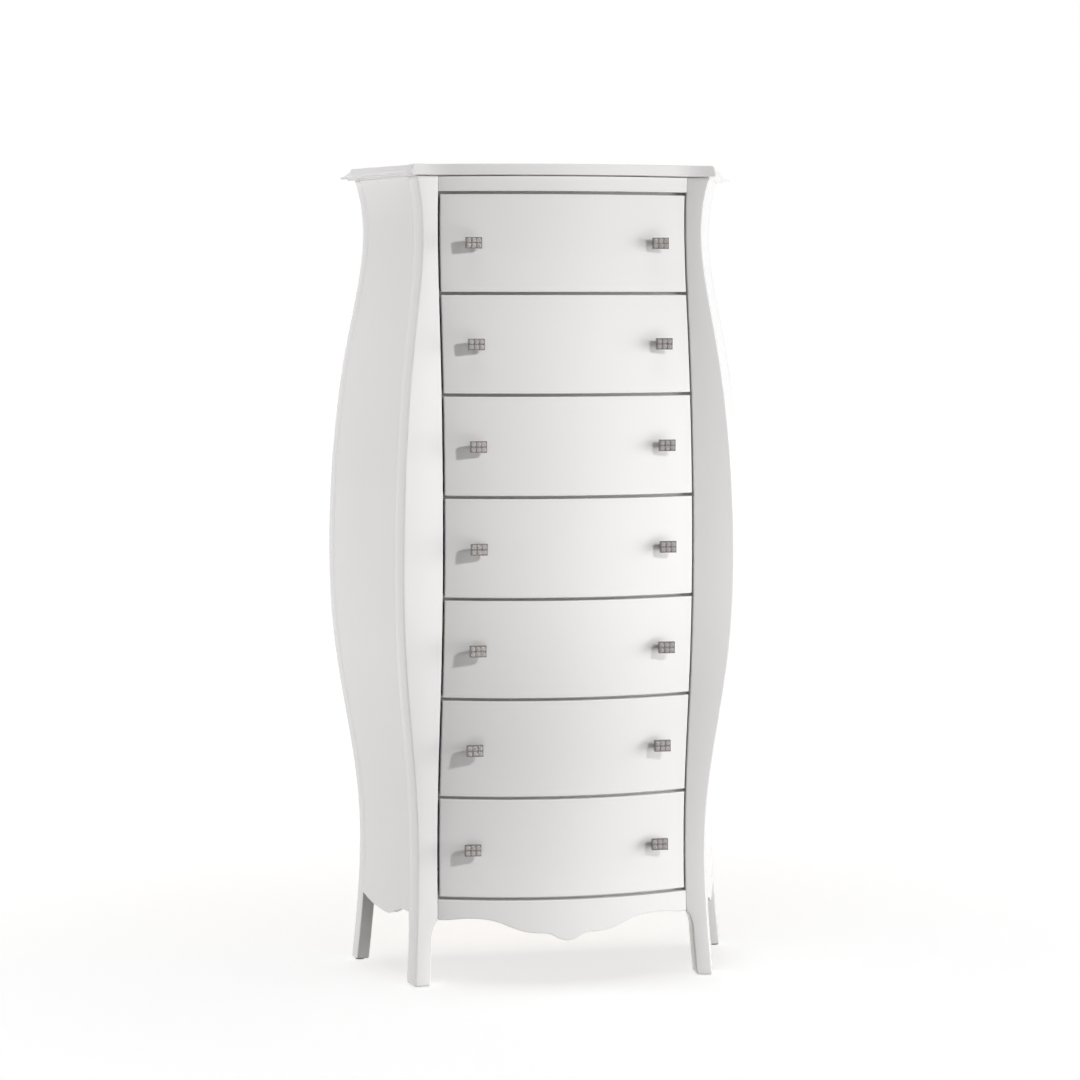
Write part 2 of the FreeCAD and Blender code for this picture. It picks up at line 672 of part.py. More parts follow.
box_half = "(opening_half - guide_width - guide_clearance)"
box_rear = f"{frame_front} - rear_clearance"
for number in range(1, DRAWERS + 1):
    name = f"drawer_{number}"
    foot = drawer_foot(number)
    rest = f"{ledge_height(number)} + seat_clearance"
    rise = (f"{foot + front_height - ledge_height(number)} - (divider_height - front_gap) / 2"
            " - lift_clearance - seat_clearance")
    front_block = box(f"{name}_front_block", "2 * (opening_half - side_gap)", 2 * AWAY, front_height,
                      "side_gap - opening_half", -AWAY, foot)
    front = common(f"{name}_front_blank", front_skin, front_block)

    knob_solids = []
    stones = []
    holes = []
    for hand, sign in HANDS:
        way = knob_frame(number, sign).toMatrix()
        knob_solids.append(knob.Shape.transformed(way).cut(front_skin.Shape))
        knob_solids.append(knob_screw.Shape.transformed(way))
        stones += [stone.Shape.transformed(way) for stone in crystals]
        holes.append(form(f"{name}_{hand}_hole", knob_hole.Shape.transformed(way)))
    node(f"{name}_front", cut(f"{name}_front", front, *holes))
    node(f"{name}_knobs", form(f"{name}_knobs", Part.Compound(knob_solids)))
    node(f"{name}_crystals", form(f"{name}_crystals", Part.Compound(stones)))

    groove = box(f"{name}_groove", f"2 * ({box_half} - drawer_wall + groove_depth)", 2 * AWAY,
                 "drawer_floor", f"-({box_half} - drawer_wall + groove_depth)", -AWAY,
                 f"{rest} + groove_height")
    walls = []
    for hand, sign in HANDS:
        wall_x = f"{box_half} - drawer_wall" if sign > 0 else f"-{box_half}"
        board = box(f"{name}_{hand}_board", "drawer_wall", AWAY, rise,
                    wall_x, f"{box_rear} - {AWAY}", rest)
        trimmed = common(f"{name}_{hand}_trimmed", board, behind_fronts)
        walls.append(cut(f"{name}_{hand}_side", trimmed, groove))
    node(f"{name}_sides", group(f"{name}_sides", walls))

    floor_board = box(f"{name}_floor_board", f"2 * ({box_half} - drawer_wall + groove_depth)", AWAY,
                      "drawer_floor", f"-({box_half} - drawer_wall + groove_depth)",
                      f"{box_rear} - {AWAY}", f"{rest} + groove_height")
    node(f"{name}_bottom", common(f"{name}_bottom", floor_board, behind_fronts))
    node(f"{name}_back", box(f"{name}_back", f"2 * ({box_half} - drawer_wall)", "drawer_wall",
                             f"{rise} - groove_height - drawer_floor",
                             f"-({box_half} - drawer_wall)", f"{box_rear} - drawer_wall",
                             f"{rest} + groove_height + drawer_floor"))

doc.recompute()

for thing in doc.Objects:
    if "Invalid" in thing.State or "Error" in thing.State:
        raise RuntimeError(f"{thing.Label} failed: {thing.State}")
for name, thing in nodes.items():
    if thing.Shape.isNull() or not thing.Shape.isValid() or thing.Shape.Volume <= 0:
        raise RuntimeError(f"{name} has no valid solid")

os.makedirs("parts", exist_ok=True)
for name, thing in nodes.items():
    thing.Shape.exportStep(f"parts/{name}.step")

whole = Part.Compound([thing.Shape for thing in nodes.values()]).optimalBoundingBox(True, False)
print(f"{len(nodes)} sub-parts, {whole.XLength:.1f} x {whole.YLength:.1f} x {whole.ZLength:.1f} mm,"
      f" centre {whole.Center.x:.2f}, {whole.Center.y:.2f}, lowest {whole.ZMin:.2f}")
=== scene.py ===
"""Looks of a tall seven-drawer chest in white lacquer, built around its packed frame."""

import json
import math

import bmesh
import bpy
from bpy.props import FloatProperty, FloatVectorProperty, IntProperty, PointerProperty
from mathutils import Matrix, Vector

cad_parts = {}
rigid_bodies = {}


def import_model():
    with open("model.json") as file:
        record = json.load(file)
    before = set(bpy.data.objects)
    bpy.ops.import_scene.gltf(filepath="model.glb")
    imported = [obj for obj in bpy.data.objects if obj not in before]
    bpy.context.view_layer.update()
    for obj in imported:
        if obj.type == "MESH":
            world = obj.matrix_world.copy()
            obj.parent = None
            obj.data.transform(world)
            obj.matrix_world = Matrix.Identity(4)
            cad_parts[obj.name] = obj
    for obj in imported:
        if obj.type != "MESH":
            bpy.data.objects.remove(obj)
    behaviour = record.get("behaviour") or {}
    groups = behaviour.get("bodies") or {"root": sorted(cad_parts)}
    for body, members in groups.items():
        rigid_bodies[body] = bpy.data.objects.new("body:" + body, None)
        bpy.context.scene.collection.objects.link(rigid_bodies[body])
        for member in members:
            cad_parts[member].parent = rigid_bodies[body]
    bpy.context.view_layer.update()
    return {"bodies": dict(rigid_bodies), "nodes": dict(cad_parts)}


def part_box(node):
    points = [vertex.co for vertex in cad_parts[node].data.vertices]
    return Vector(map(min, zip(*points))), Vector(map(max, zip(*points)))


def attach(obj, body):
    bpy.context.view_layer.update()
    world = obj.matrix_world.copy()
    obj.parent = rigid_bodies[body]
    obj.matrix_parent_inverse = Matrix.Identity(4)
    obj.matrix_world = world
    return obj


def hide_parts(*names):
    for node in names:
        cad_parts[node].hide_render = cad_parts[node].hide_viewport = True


bl_info = {
    "name": "Semainier",
    "version": (1, 0, 0),
    "blender": (4, 5, 0),
    "location": "3D View > Sidebar > Semainier",
    "description": "Dresses a seven-drawer chest: lacquer, crystal knobs, drawer boxes and stage",
    "category": "Object",
}

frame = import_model()

DRAWERS = sum(body.startswith("drawer_") for body in frame["bodies"])
HANDS = (("left", -1), ("right", 1))
CASE = "carcass"
ROUND_STEPS = 4        # quads across a rounded edge
STATION_COUNT = 8      # control points of a curve of the case
CURVE_STEPS = 280      # steps of the curves that a bowed piece follows
HALVINGS = 40          # of the range in which a curve's argument is searched
DOUBLES = 1e-7         # distance below which two points are one
CREASE = 35            # degrees from which an edge of the hardware looks sharp
BEVEL_FROM = 40        # degrees from which it is bevelled


# Sizes and colours.

def declarer(make, **fixed):
    """Function that declares a property of one kind."""
    return lambda name, description, default: make(
        name=name, description=description, default=default, **fixed)


length = declarer(FloatProperty, unit="LENGTH", precision=4)
stations = declarer(FloatVectorProperty, size=STATION_COUNT, unit="LENGTH", precision=4)
location = declarer(FloatVectorProperty, size=3, unit="LENGTH")
colour = declarer(FloatVectorProperty, size=3, subtype="COLOR", min=0, max=1)
share = declarer(FloatProperty, subtype="FACTOR", min=0, max=1)
strength = declarer(FloatProperty, min=0)
angle = declarer(FloatProperty, subtype="ANGLE")
count = declarer(IntProperty, min=1)


class SemainierCase(bpy.types.PropertyGroup):
    """Curves of the case"""
    depth: length("Depth", "Front datum plane to the rear plane", 0.2395)
    side_splay: angle("Side splay", "Angle between a side and the depth direction",
                      math.radians(16.7))
    post_cant: angle("Post cant", "Angle by which a post's face turns inwards", math.radians(7))
    front_bow: length("Front bow", "Rise of the bowed front over the drawer opening", 0.042)
    side_stations: stations(
        "Side curve", "Control points of the rear edge beyond the opening, from the floor up",
        (0.1193, 0.1097, 0.0907, 0.1592, 0.1630, 0.1343, 0.0824, 0.1138))
    front_stations: stations(
        "Front curve", "Control points of the front ahead of the datum plane, from the floor up",
        (0.0140, 0.0008, -0.0243, 0.0519, 0.0616, 0.0333, -0.0145, 0.0064))
    post_depth: length("Post depth", "Depth of a front post", 0.036)
    rear_post_depth: length("Rear post depth", "Depth of a rear post", 0.024)
    rear_post_width: length("Rear post width", "Width of a rear post", 0.021)
    foot_width: length("Foot width", "Width of a front leg below the apron", 0.026)
    foot_bend: length("Foot bend", "Height where a leg's inner edge follows its outer one", 0.075)
    panel_thickness: length("Panel", "Thickness of a side panel", 0.012)
    front_thickness: length("Fronts", "Thickness of the drawer fronts", 0.020)
    side_ends: length("Side apron ends", "Lower edge of a side panel at the posts", 0.120)
    side_rise_at: length("Side apron rise at", "How far it stays level behind the front", 0.024)
    side_drop: length("Side apron drop", "Lower edge of a side panel at its lowest", 0.103)
    side_drop_at: length("Side apron drop at", "Its distance behind the front post", 0.084)


class SemainierApron(bpy.types.PropertyGroup):
    """Cupid's bow under the lowest drawer"""
    ends: length("Ends", "Height of the lower edge at the posts", 0.110)
    rise: length("Rise", "Highest point of the lower edge", 0.114)
    rise_at: length("Rise at", "Its distance from the centre line", 0.160)
    shoulder: length("Shoulder", "Shoulder beside the middle drop", 0.0895)
    shoulder_at: length("Shoulder at", "Its distance from the centre line", 0.042)
    drop: length("Drop", "Middle of the lower edge", 0.077)


class SemainierTop(bpy.types.PropertyGroup):
    """Moulded top board"""
    overhang: length("Overhang", "Front edge ahead of the datum curve", 0.010)
    front_eaves: length("Front eaves", "Front corner beyond the splayed side", 0.011)
    rear_eaves: length("Rear eaves", "Rear corner beyond it", 0.0247)
    lip: length("Lip", "Upright edge under the cove of a side", 0.006)
    cove: length("Cove", "How far the cove reaches in from a side", 0.020)
    quirk: length("Quirk", "Depth of the groove along the cove", 0.0022)
    quirk_at: length("Quirk at", "Its distance from the side edge", 0.0155)
    strip: length("Front strip", "Depth of the full-height strip along the front", 0.020)
    strip_return: length("Strip return", "Width of the rounded end of the front strip", 0.0075)
    undercut: length("Undercut", "Rise of the rounded lower edge", 0.003)
    rebate: length("Rebate", "Height of the shadow gap over the case", 0.0022)
    rebate_depth: length("Rebate depth", "How far it reaches in from the front edge", 0.0135)


class SemainierEdges(bpy.types.PropertyGroup):
    """Rounding of the edges"""
    arris: length("Arris", "Outer front edge of a post", 0.0028)
    post: length("Post", "Inner front edge of a post", 0.0020)
    joint: length("Joint", "Edges where lacquered pieces meet", 0.0004)
    front: length("Drawer front", "Edges of a drawer front", 0.0016)
    foot: length("Foot", "Edges of a sole", 0.0030)
    top: length("Top", "Edges of the top board", 0.0016)
    board: length("Board", "Edges of the drawer boxes", 0.0008)


class SemainierKnob(bpy.types.PropertyGroup):
    """Crystal knobs"""
    spread: length("Spread", "Centre line to a knob", 0.1625)
    width: length("Width", "Width of a knob's head", 0.028)
    height: length("Height", "Height of a knob's head", 0.0195)
    head_depth: length("Head depth", "Depth of a knob's head", 0.008)
    reach: length("Reach", "Drawer front to the face of a knob", 0.025)
    stem: length("Stem radius", "Radius of the stem", 0.0045)
    flange: length("Flange radius", "Radius of the flange on the drawer front", 0.006)
    flange_depth: length("Flange depth", "Thickness of the flange", 0.0035)
    border: length("Border", "Chrome round and between the crystals", 0.0014)
    pocket: length("Pocket", "Depth of a crystal's pocket", 0.0025)
    crown: length("Crown", "Rise of a crystal above the chrome", 0.0016)
    facet: length("Facet", "Width of the bevel round a crystal's table", 0.0020)
    columns: count("Columns", "Crystals side by side", 3)
    rows: count("Rows", "Crystals one above the other", 2)
    recess: length("Recess", "How deep a screw's head is let into the back", 0.002)
    bevel: length("Bevel", "Edges of the chrome and the screws", 0.0003)
    screw_radius: length("Screw radius", "Shank of a screw", 0.002)
    screw_head: length("Screw head radius", "Head of a screw", 0.004)
    screw_head_height: length("Screw head height", "Height of a screw's head", 0.0025)
    glide_radius: length("Glide radius", "Radius of a glide under a foot", 0.008)
    glide_bevel: length("Glide bevel", "Edges of a glide", 0.0006)


class SemainierFinish(bpy.types.PropertyGroup):
    """Colours and gloss"""
    lacquer: colour("Lacquer", "White lacquer", (0.84, 0.825, 0.82))
    lacquer_gloss: share("Lacquer roughness", "Roughness of the lacquer", 0.09)
    chrome: colour("Chrome", "Polished chrome", (0.22, 0.20, 0.195))
    crystal: colour("Crystal", "Cut crystal", (0.93, 0.88, 0.86))
    wood_light: colour("Light wood", "Early wood of the boxes", (0.70, 0.55, 0.38))
    wood_dark: colour("Dark wood", "Late wood of the boxes", (0.50, 0.34, 0.20))
    steel: colour("Steel", "Zinc-plated screws", (0.55, 0.55, 0.53))
    nylon: colour("Nylon", "Glides under the feet", (0.09, 0.085, 0.08))


class SemainierStage(bpy.types.PropertyGroup):
    """Camera, lamps and floor"""
    camera_place: location("Camera", "Place of the camera", (-0.9966, -5.1635, 1.1818))
    camera_turn: angle("Camera turn", "Heading of the camera to the right of +Y",
                       math.radians(10.629))
    lens: FloatProperty(name="Lens", description="Focal length on a 36 mm sensor",
                        default=100.65, unit="CAMERA")
    shift: FloatProperty(name="Shift", description="Vertical shift of the lens", default=-0.2296)
    key: strength("Key", "Light of the key lamp on a white card that faces it", 0.53)
    key_place: location("Key place", "Place of the key lamp", (1.41, -2.96, 2.1))
    key_target: location("Key target", "Middle of the key lamp's beam", (-0.66, -0.39, 0.7))
    key_cone: angle("Key cone", "Width of the cone of the key lamp", math.radians(41))
    soft: strength("Soft box", "Light of the wide lamp on the right", 0.76)
    fill: strength("Fill", "Light of the lamp on the left", 0.69)
    bounce: strength("Bounce", "Light of the low lamp in front", 0.62)
    rear: strength("Rear", "Light of the lamp behind the chest", 0.60)
    overhead: strength("Overhead", "Light of the lamp above", 0.30)
    ambient: strength("Ambient", "Even light from all round", 0.11)


# Trees of nodes.

def arithmetic(operation, reflected=False):
    """Method of a wire for one of Python's operators."""
    def method(wire, value):
        return wire.graph.math(operation, *((value, wire) if reflected else (wire, value)))
    return method


class Wire:
    """An output of a node; arithmetic on it adds Math nodes to its tree."""

    def __init__(self, graph, socket):
        self.graph = graph
        self.socket = socket

    def math(self, operation, *others):
        return self.graph.math(operation, self, *others)

    def other(self, output):
        return Wire(self.graph, self.socket.node.outputs[output])

    __add__, __radd__ = arithmetic("ADD"), arithmetic("ADD", True)
    __sub__, __rsub__ = arithmetic("SUBTRACT"), arithmetic("SUBTRACT", True)
    __mul__, __rmul__ = arithmetic("MULTIPLY"), arithmetic("MULTIPLY", True)
    __truediv__, __rtruediv__ = arithmetic("DIVIDE"), arithmetic("DIVIDE", True)

    def __neg__(self):
        return self * -1


class Graph:
    """A node tree under construction."""

    def __init__(self, tree):
        self.tree = tree
        tree.nodes.clear()

    def add(self, kind, settings=None, inputs=None, output=0):
        """New node of a kind with its settings and inputs; returns one of its outputs."""
        node = self.tree.nodes.new(kind)
        for name, value in (settings or {}).items():
            if name == "stops":
                self.set_stops(node.color_ramp, value)
            else:
                setattr(node, name, value)
        for key, value in (inputs or {}).items():
            for item in value if isinstance(value, list) else [value]:
                self.feed(node.inputs[key], item)
        return Wire(self, node.outputs[output]) if node.outputs else node

    def feed(self, socket, value):
        if isinstance(value, Wire):
            self.tree.links.new(value.socket, socket)
        else:
            socket.default_value = value

    @staticmethod
    def set_stops(ramp, stops):
        for _ in stops[2:]:
            ramp.elements.new(0.5)
        for element, (where, shade) in zip(ramp.elements, stops):
            element.position = where
            element.color = (*shade, 1)

    def math(self, operation, *values):
        return self.add("ShaderNodeMath", {"operation": operation}, dict(enumerate(values)))

    def vector_math(self, operation, *values, output=0, **named):
        return self.add("ShaderNodeVectorMath", {"operation": operation},
                        {**dict(enumerate(values)), **named}, output)

    def vector(self, x=0.0, y=0.0, z=0.0):
        return self.add("ShaderNodeCombineXYZ", None, {"X": x, "Y": y, "Z": z})

    def parts(self, vector, output="X"):
        """One part of a vector; other() gives the rest."""
        return self.add("ShaderNodeSeparateXYZ", None, {"Vector": vector}, output)

    def between(self, value, start, end):
        """0 below the start, 1 beyond the end and even between them."""
        return self.add("ShaderNodeMapRange", None,
                        {"Value": value, "From Min": start, "From Max": end})

    def eased(self, value, start, end, low, high):
        """Goes gently from low to high between the start and the end."""
        return self.add("ShaderNodeMapRange", {"interpolation_type": "SMOOTHSTEP"}, {
            "Value": value, "From Min": start, "From Max": end, "To Min": low, "To Max": high})


class Surface(Graph):
    """Shader of one finish."""

    def __init__(self, name):
        self.material = bpy.data.materials.new(name)
        self.material.use_nodes = True
        super().__init__(self.material.node_tree)
        self.place = self.add("ShaderNodeTexCoord", output="Object")

    def noise(self, scale, detail=2.0, roughness=0.5, place=None, distortion=0.0):
        """Fractal noise from 0 to 1 at a number of features per metre."""
        return self.add("ShaderNodeTexNoise", None, {
            "Vector": place or self.place, "Scale": scale, "Detail": detail,
            "Roughness": roughness, "Distortion": distortion})

    def stretched(self, *scale):
        """Object coordinates scaled along each axis."""
        return self.add("ShaderNodeMapping", None, {"Vector": self.place, "Scale": scale})

    def ramp(self, value, *stops):
        """Grey between stops, each a place and a shade."""
        stops = [(where, (shade,) * 3) for where, shade in stops]
        return self.add("ShaderNodeValToRGB", {"stops": stops}, {"Fac": value})

    def mixed(self, amount, first, second, blend="MIX"):
        """Colour between two colours."""
        first, second = (tint if isinstance(tint, Wire) else (*tint, 1)
                         for tint in (first, second))
        return self.add("ShaderNodeMix", {"data_type": "RGBA", "blend_type": blend},
                        {0: amount, 6: first, 7: second}, output=2)

    def bump(self, height, depth, **normal):
        return self.add("ShaderNodeBump", None,
                        {"Height": height, "Distance": depth, "Strength": 1.0, **normal})

    def finish(self, **sockets):
        """Ends the shader in a Principled surface; underscores in socket names are spaces."""
        inputs = {name.replace("_", " "): value for name, value in sockets.items()}
        self.end(self.add("ShaderNodeBsdfPrincipled", None, inputs))
        return self.material

    def end(self, shader):
        self.add("ShaderNodeOutputMaterial", None, {"Surface": shader})


class Maker(Graph):
    """Geometry tree that grows a piece; its named inputs are its sizes."""

    def __init__(self, name, sizes):
        tree = bpy.data.node_groups.new(name, "GeometryNodeTree")
        super().__init__(tree)
        interface = tree.interface
        interface.new_socket("Geometry", in_out="OUTPUT", socket_type="NodeSocketGeometry")
        interface.new_socket("Geometry", in_out="INPUT", socket_type="NodeSocketGeometry")
        for label, default in sizes.items():
            kind = "NodeSocketInt" if isinstance(default, int) else "NodeSocketFloat"
            interface.new_socket(label, in_out="INPUT", socket_type=kind).default_value = default
        entry = tree.nodes.new("NodeGroupInput")
        self.incoming = Wire(self, entry.outputs["Geometry"])
        self.sizes = {label: Wire(self, entry.outputs[label]) for label in sizes}

    def moved(self, thing, x=0.0, y=0.0, z=0.0, **inputs):
        return self.add("GeometryNodeTransform", None, {
            "Geometry": thing, "Translation": self.vector(x, y, z), **inputs})

    def cuboid(self, x, y, z):
        return self.add("GeometryNodeMeshCube", None, {"Size": self.vector(x, y, z)})

    def cylinder(self, radius, depth, sides=40):
        return self.add("GeometryNodeMeshCylinder", None,
                        {"Vertices": sides, "Radius": radius, "Depth": depth})

    def joined(self, *things):
        return self.add("GeometryNodeJoinGeometry", None, {"Geometry": list(things)})

    def less(self, whole, *tools):
        return self.add("GeometryNodeMeshBoolean", {"operation": "DIFFERENCE", "solver": "EXACT"},
                        {"Mesh 1": whole, "Mesh 2": list(tools)})

    def set_on(self, points, thing, **inputs):
        spread = self.add("GeometryNodeInstanceOnPoints", None,
                          {"Points": points, "Instance": thing, **inputs})
        return self.add("GeometryNodeRealizeInstances", None, {"Geometry": spread})

    def carried(self, name, kind="FLOAT"):
        """Value that the points of the incoming mesh carry."""
        return self.add("GeometryNodeInputNamedAttribute", {"data_type": kind}, {"Name": name})

    def position(self, output="X"):
        return self.parts(self.add("GeometryNodeInputPosition"), output)

    def cells(self):
        """Width and height of a crystal's cell, and the points in the middle of the cells."""
        size = self.sizes
        inner = [size[extent] - size["border"] for extent in ("width", "height")]
        cell = [extent / size[number] for extent, number in zip(inner, ("columns", "rows"))]
        grid = self.add("GeometryNodeMeshGrid", None, {
            "Size X": inner[0] - cell[0], "Size Y": inner[1] - cell[1],
            "Vertices X": size["columns"], "Vertices Y": size["rows"]})
        return (*cell, self.moved(grid, z=size["reach"]))

    def end(self, thing, material):
        whole = self.add("GeometryNodeRealizeInstances", None, {"Geometry": thing})
        painted = self.add("GeometryNodeSetMaterial", None,
                           {"Geometry": whole, "Material": material})
        self.add("NodeGroupOutput", None, {"Geometry": painted})
        return self.tree

    def end_on_seats(self, thing, material):
        """Sets the piece on each seat of the incoming mesh, turned as the seat says."""
        rotation = self.add("FunctionNodeEulerToRotation", None,
                            {"Euler": self.carried("turn", "FLOAT_VECTOR")})
        return self.end(self.set_on(self.incoming, thing, Rotation=rotation), material)


# Finishes.

def lacquer(finish):
    """White high-gloss lacquer over sanded boards: faint tone drift, orange peel, fine haze."""
    make = Surface("white_lacquer")
    base = Vector(finish.lacquer)
    tone = make.mixed(make.ramp(make.noise(3.1, 3), (0.3, 0), (0.7, 1)),
                      base * 0.985, base * 1.012)
    tone = make.mixed(make.noise(140, 2) * 0.25, tone, base * 0.99)
    flow = make.bump(make.noise(16, 1), 0.00022)
    peel = make.bump(make.noise(420, 1.5), 0.0000045, Normal=flow)
    return make.finish(
        Base_Color=tone, Roughness=finish.lacquer_gloss + 0.07 * make.noise(38, 4, 0.65),
        Normal=peel, Coat_Weight=0.35, Coat_Roughness=0.03, IOR=1.5)


def chrome(finish):
    """Polished chrome with faint smudges and hairline polishing marks."""
    make = Surface("polished_chrome")
    smudge = make.noise(260, 3, 0.6)
    hairline = make.noise(1.0, 2, 0.5, make.stretched(9000, 700, 700))
    return make.finish(
        Base_Color=make.mixed(smudge, Vector(finish.chrome) * 0.92, finish.chrome),
        Metallic=1.0, Roughness=0.07 + 0.12 * smudge, Normal=make.bump(hairline, 0.0000015))


def crystal(finish):
    """Cut crystal: painted reflections as light and dark wedges round each stone, a trace of
    handling on its facets.
    """
    make = Surface("cut_crystal")
    across = make.parts(make.add("ShaderNodeAttribute", {"attribute_name": "cut"},
                                 output="Vector"))
    upward = across.other("Y")
    turn = upward.math("ARCTAN2", across)
    away = (across * across + upward * upward).math("SQRT")
    # Painted reflections: the colour swings from dark to light in wedges round each stone's
    # middle, in place of the glints of its facets.
    painted_facet_glints = 0.5 + 0.5 * (8 * turn + 9 * away).math("SINE")
    tone = make.mixed(make.ramp(painted_facet_glints, (0.35, 0), (0.65, 1)),
                      Vector(finish.crystal) * 0.35, finish.crystal)
    return make.finish(Base_Color=tone, Roughness=0.01 + 0.03 * make.noise(500, 2), IOR=1.56,
                       Transmission_Weight=0.5)


ALONG_GRAIN, ACROSS_GRAIN = 1.6, 34        # features of the wood per metre


def wood(finish, grain):
    """Waxed poplar; grain is the axis along which its fibres run."""
    make = Surface(f"poplar_{grain.lower()}")

    def streaks(finer, *look, **more):
        """Noise drawn out along the grain, at a fineness."""
        scale = [(ALONG_GRAIN if axis == grain else ACROSS_GRAIN) * finer for axis in "XYZ"]
        return make.noise(1.0, *look, make.stretched(*scale), **more)

    rings = streaks(1, 4, 0.55, distortion=0.6)
    fibres = streaks(9, 3, 0.6)
    figure = make.ramp(rings * 0.75 + fibres * 0.25, (0.33, 1), (0.46, 0.55), (0.53, 0.8),
                       (0.66, 0))
    tone = make.mixed(figure, finish.wood_dark, finish.wood_light)
    pores = make.ramp(streaks(22, 1, 0.5), (0.30, 0.72), (0.38, 1))
    return make.finish(Base_Color=make.mixed(1.0, tone, pores, "MULTIPLY"),
                       Roughness=0.46 + 0.16 * fibres, Normal=make.bump(fibres, 0.00005))


def plated_steel(finish):
    """Zinc-plated steel: mottled and slightly brushed."""
    make = Surface("plated_steel")
    mottle = make.noise(600, 3, 0.6)
    tone = make.mixed(mottle, Vector(finish.steel) * 0.8, Vector(finish.steel) * 1.1)
    return make.finish(Base_Color=tone, Metallic=1.0, Roughness=0.28 + 0.2 * mottle,
                       Normal=make.bump(mottle, 0.00001))


def nylon(finish):
    """Scuffed moulded nylon."""
    make = Surface("nylon_glide")
    scuff = make.noise(300, 4, 0.7)
    tone = make.mixed(scuff, finish.nylon, Vector(finish.nylon) * 1.7)
    return make.finish(Base_Color=tone, Roughness=0.45 + 0.25 * scuff,
                       Normal=make.bump(scuff, 0.00004))


PAINTS = {}        # materials by the names of their finishes


def paint(name):
    """Material of a finish; all of them are made at the first call."""
    if not PAINTS:
        finish = bpy.context.scene.semainier_finish
        for coat in (lacquer, chrome, crystal, plated_steel, nylon):
            PAINTS[coat.__name__] = coat(finish)
        for axis in "XYZ":
            PAINTS[f"wood_{axis}"] = wood(finish, axis)
    return PAINTS[name]


# Form of the case.

def limited(value, low=0.0, high=1.0):
    return min(max(value, low), high)


def solved(function, target):
    """Argument from 0 to 1 at which a rising function reaches the target."""
    low, high = 0.0, 1.0
    for _ in range(HALVINGS):
        middle = (low + high) / 2
        if function(middle) < target:
            low = middle
        else:
            high = middle
    return (low + high) / 2


def spline(points, along):
    """Clamped cubic B-spline with even knots, at a share of its height."""
    spans = len(points) - 3
    knots = [0] * 3 + list(range(spans + 1)) + [spans] * 3
    where = limited(along) * spans
    span = min(int(where), spans - 1) + 3
    blend = list(points[span - 3:span + 1])
    for level in range(1, 4):
        for index in range(3, level - 1, -1):
            low = knots[span - 3 + index]
            high = knots[span + 1 + index - level]
            part = (where - low) / (high - low)
            blend[index] = (1 - part) * blend[index - 1] + part * blend[index]
    return blend[3]


class Form:
    """Curves of the case in metres. A point's reach and rear half-width depend on its height."""

    def __init__(self, scene):
        for part in ("case", "apron", "top", "edges", "knob"):
            setattr(self, part, getattr(scene, f"semainier_{part}"))
        self.case_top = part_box("top_board")[0].z
        self.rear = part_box("rear_left_post")[1].y
        self.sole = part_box("front_left_post")[0].z
        self.datum = self.rear - self.case.depth
        self.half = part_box("front_frieze")[1].x
        self.splay = math.tan(self.case.side_splay)
        self.cant = math.tan(self.case.post_cant)

    def reach(self, z):
        return spline(self.case.front_stations, z / self.case_top)

    def rear_half(self, z):
        return self.half + spline(self.case.side_stations, z / self.case_top)

    def bow(self, x):
        return self.case.front_bow * (1 - (x / self.half) ** 2)

    def front(self, x, z):
        """Depth of the bowed front at x and height z."""
        return self.datum - self.reach(z) - self.bow(x)

    def side(self, y, z, inset=0.0):
        """Half-width of the case at depth y and height z."""
        outer = self.rear_half(z) - self.splay * (self.rear - y)
        return outer - inset / math.cos(self.case.side_splay)

    def post_face(self, x, z):
        """Depth of a front post's canted face at half-width x and height z."""
        return self.datum - self.reach(z) - self.cant * (x - self.half)

    def corner(self, z, setback, inset=0.0):
        """Where a plane set back from a post's face meets the side, moved in by inset."""
        outer = self.side(0, z, inset)
        level = self.post_face(0, z) + setback
        y = (level - self.cant * outer) / (1 + self.cant * self.splay)
        return Vector((self.side(y, z, inset), y, z))

    def knob_seat(self, number, sign):
        """Place of a knob: its Z leaves the bowed front straight ahead, its Y points up."""
        low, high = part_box(f"drawer_{number}_front")
        x = sign * self.knob.spread
        z = (low.z + high.z) / 2
        ahead = Matrix.Rotation(math.pi / 2, 4, "X")
        return Matrix.Translation((x, self.front(x, z), z)) @ ahead

    def apron_edge(self, x):
        """Height of the apron's lower edge."""
        apron = self.apron
        marks = ((0, apron.drop), (apron.shoulder_at, apron.shoulder),
                 (apron.rise_at, apron.rise), (self.half, apron.ends))
        for (start, low), (end, high) in zip(marks, marks[1:]):
            if abs(x) <= end:
                along = min((abs(x) - start) / (end - start), 1)
                part = solved(lambda t: 1.5 * t - 1.5 * t * t + t ** 3, along)
                return low + (high - low) * part * part * (3 - 2 * part)
        return apron.ends

    def leg_inside(self, z):
        """Half-width of a front post's inner edge, which bends out under the apron."""
        ends = self.apron.ends
        if z >= ends:
            return self.half
        bend = self.case.foot_bend
        if z <= bend:
            return self.corner(z, 0).x - self.case.foot_width
        knee = self.corner(bend, 0).x - self.case.foot_width
        turn = ends - (knee - self.half)
        part = solved(lambda t: -((1 - t) ** 2 * ends + 2 * t * (1 - t) * turn + t * t * bend), -z)
        return (1 - part) ** 2 * self.half + (1 - (1 - part) ** 2) * knee


# Meshes.

def linked(name, data):
    """New object of the scene."""
    thing = bpy.data.objects.new(name, data)
    bpy.context.scene.collection.objects.link(thing)
    return thing


def add_piece(name, mesh, body, slot, *replaced):
    """Makes a mesh a piece that rides a body and stands for its nodes."""
    thing = linked(name, mesh)
    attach(thing, body)
    if replaced:
        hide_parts(*replaced)


def smooth(mesh, sharp=None):
    """Smooth shading, up to edges sharper than an angle in degrees; flat for 0."""
    if sharp == 0:
        mesh.shade_flat()
    else:
        mesh.shade_smooth()
    if sharp:
        mesh.set_sharp_from_angle(angle=math.radians(sharp))
    return mesh


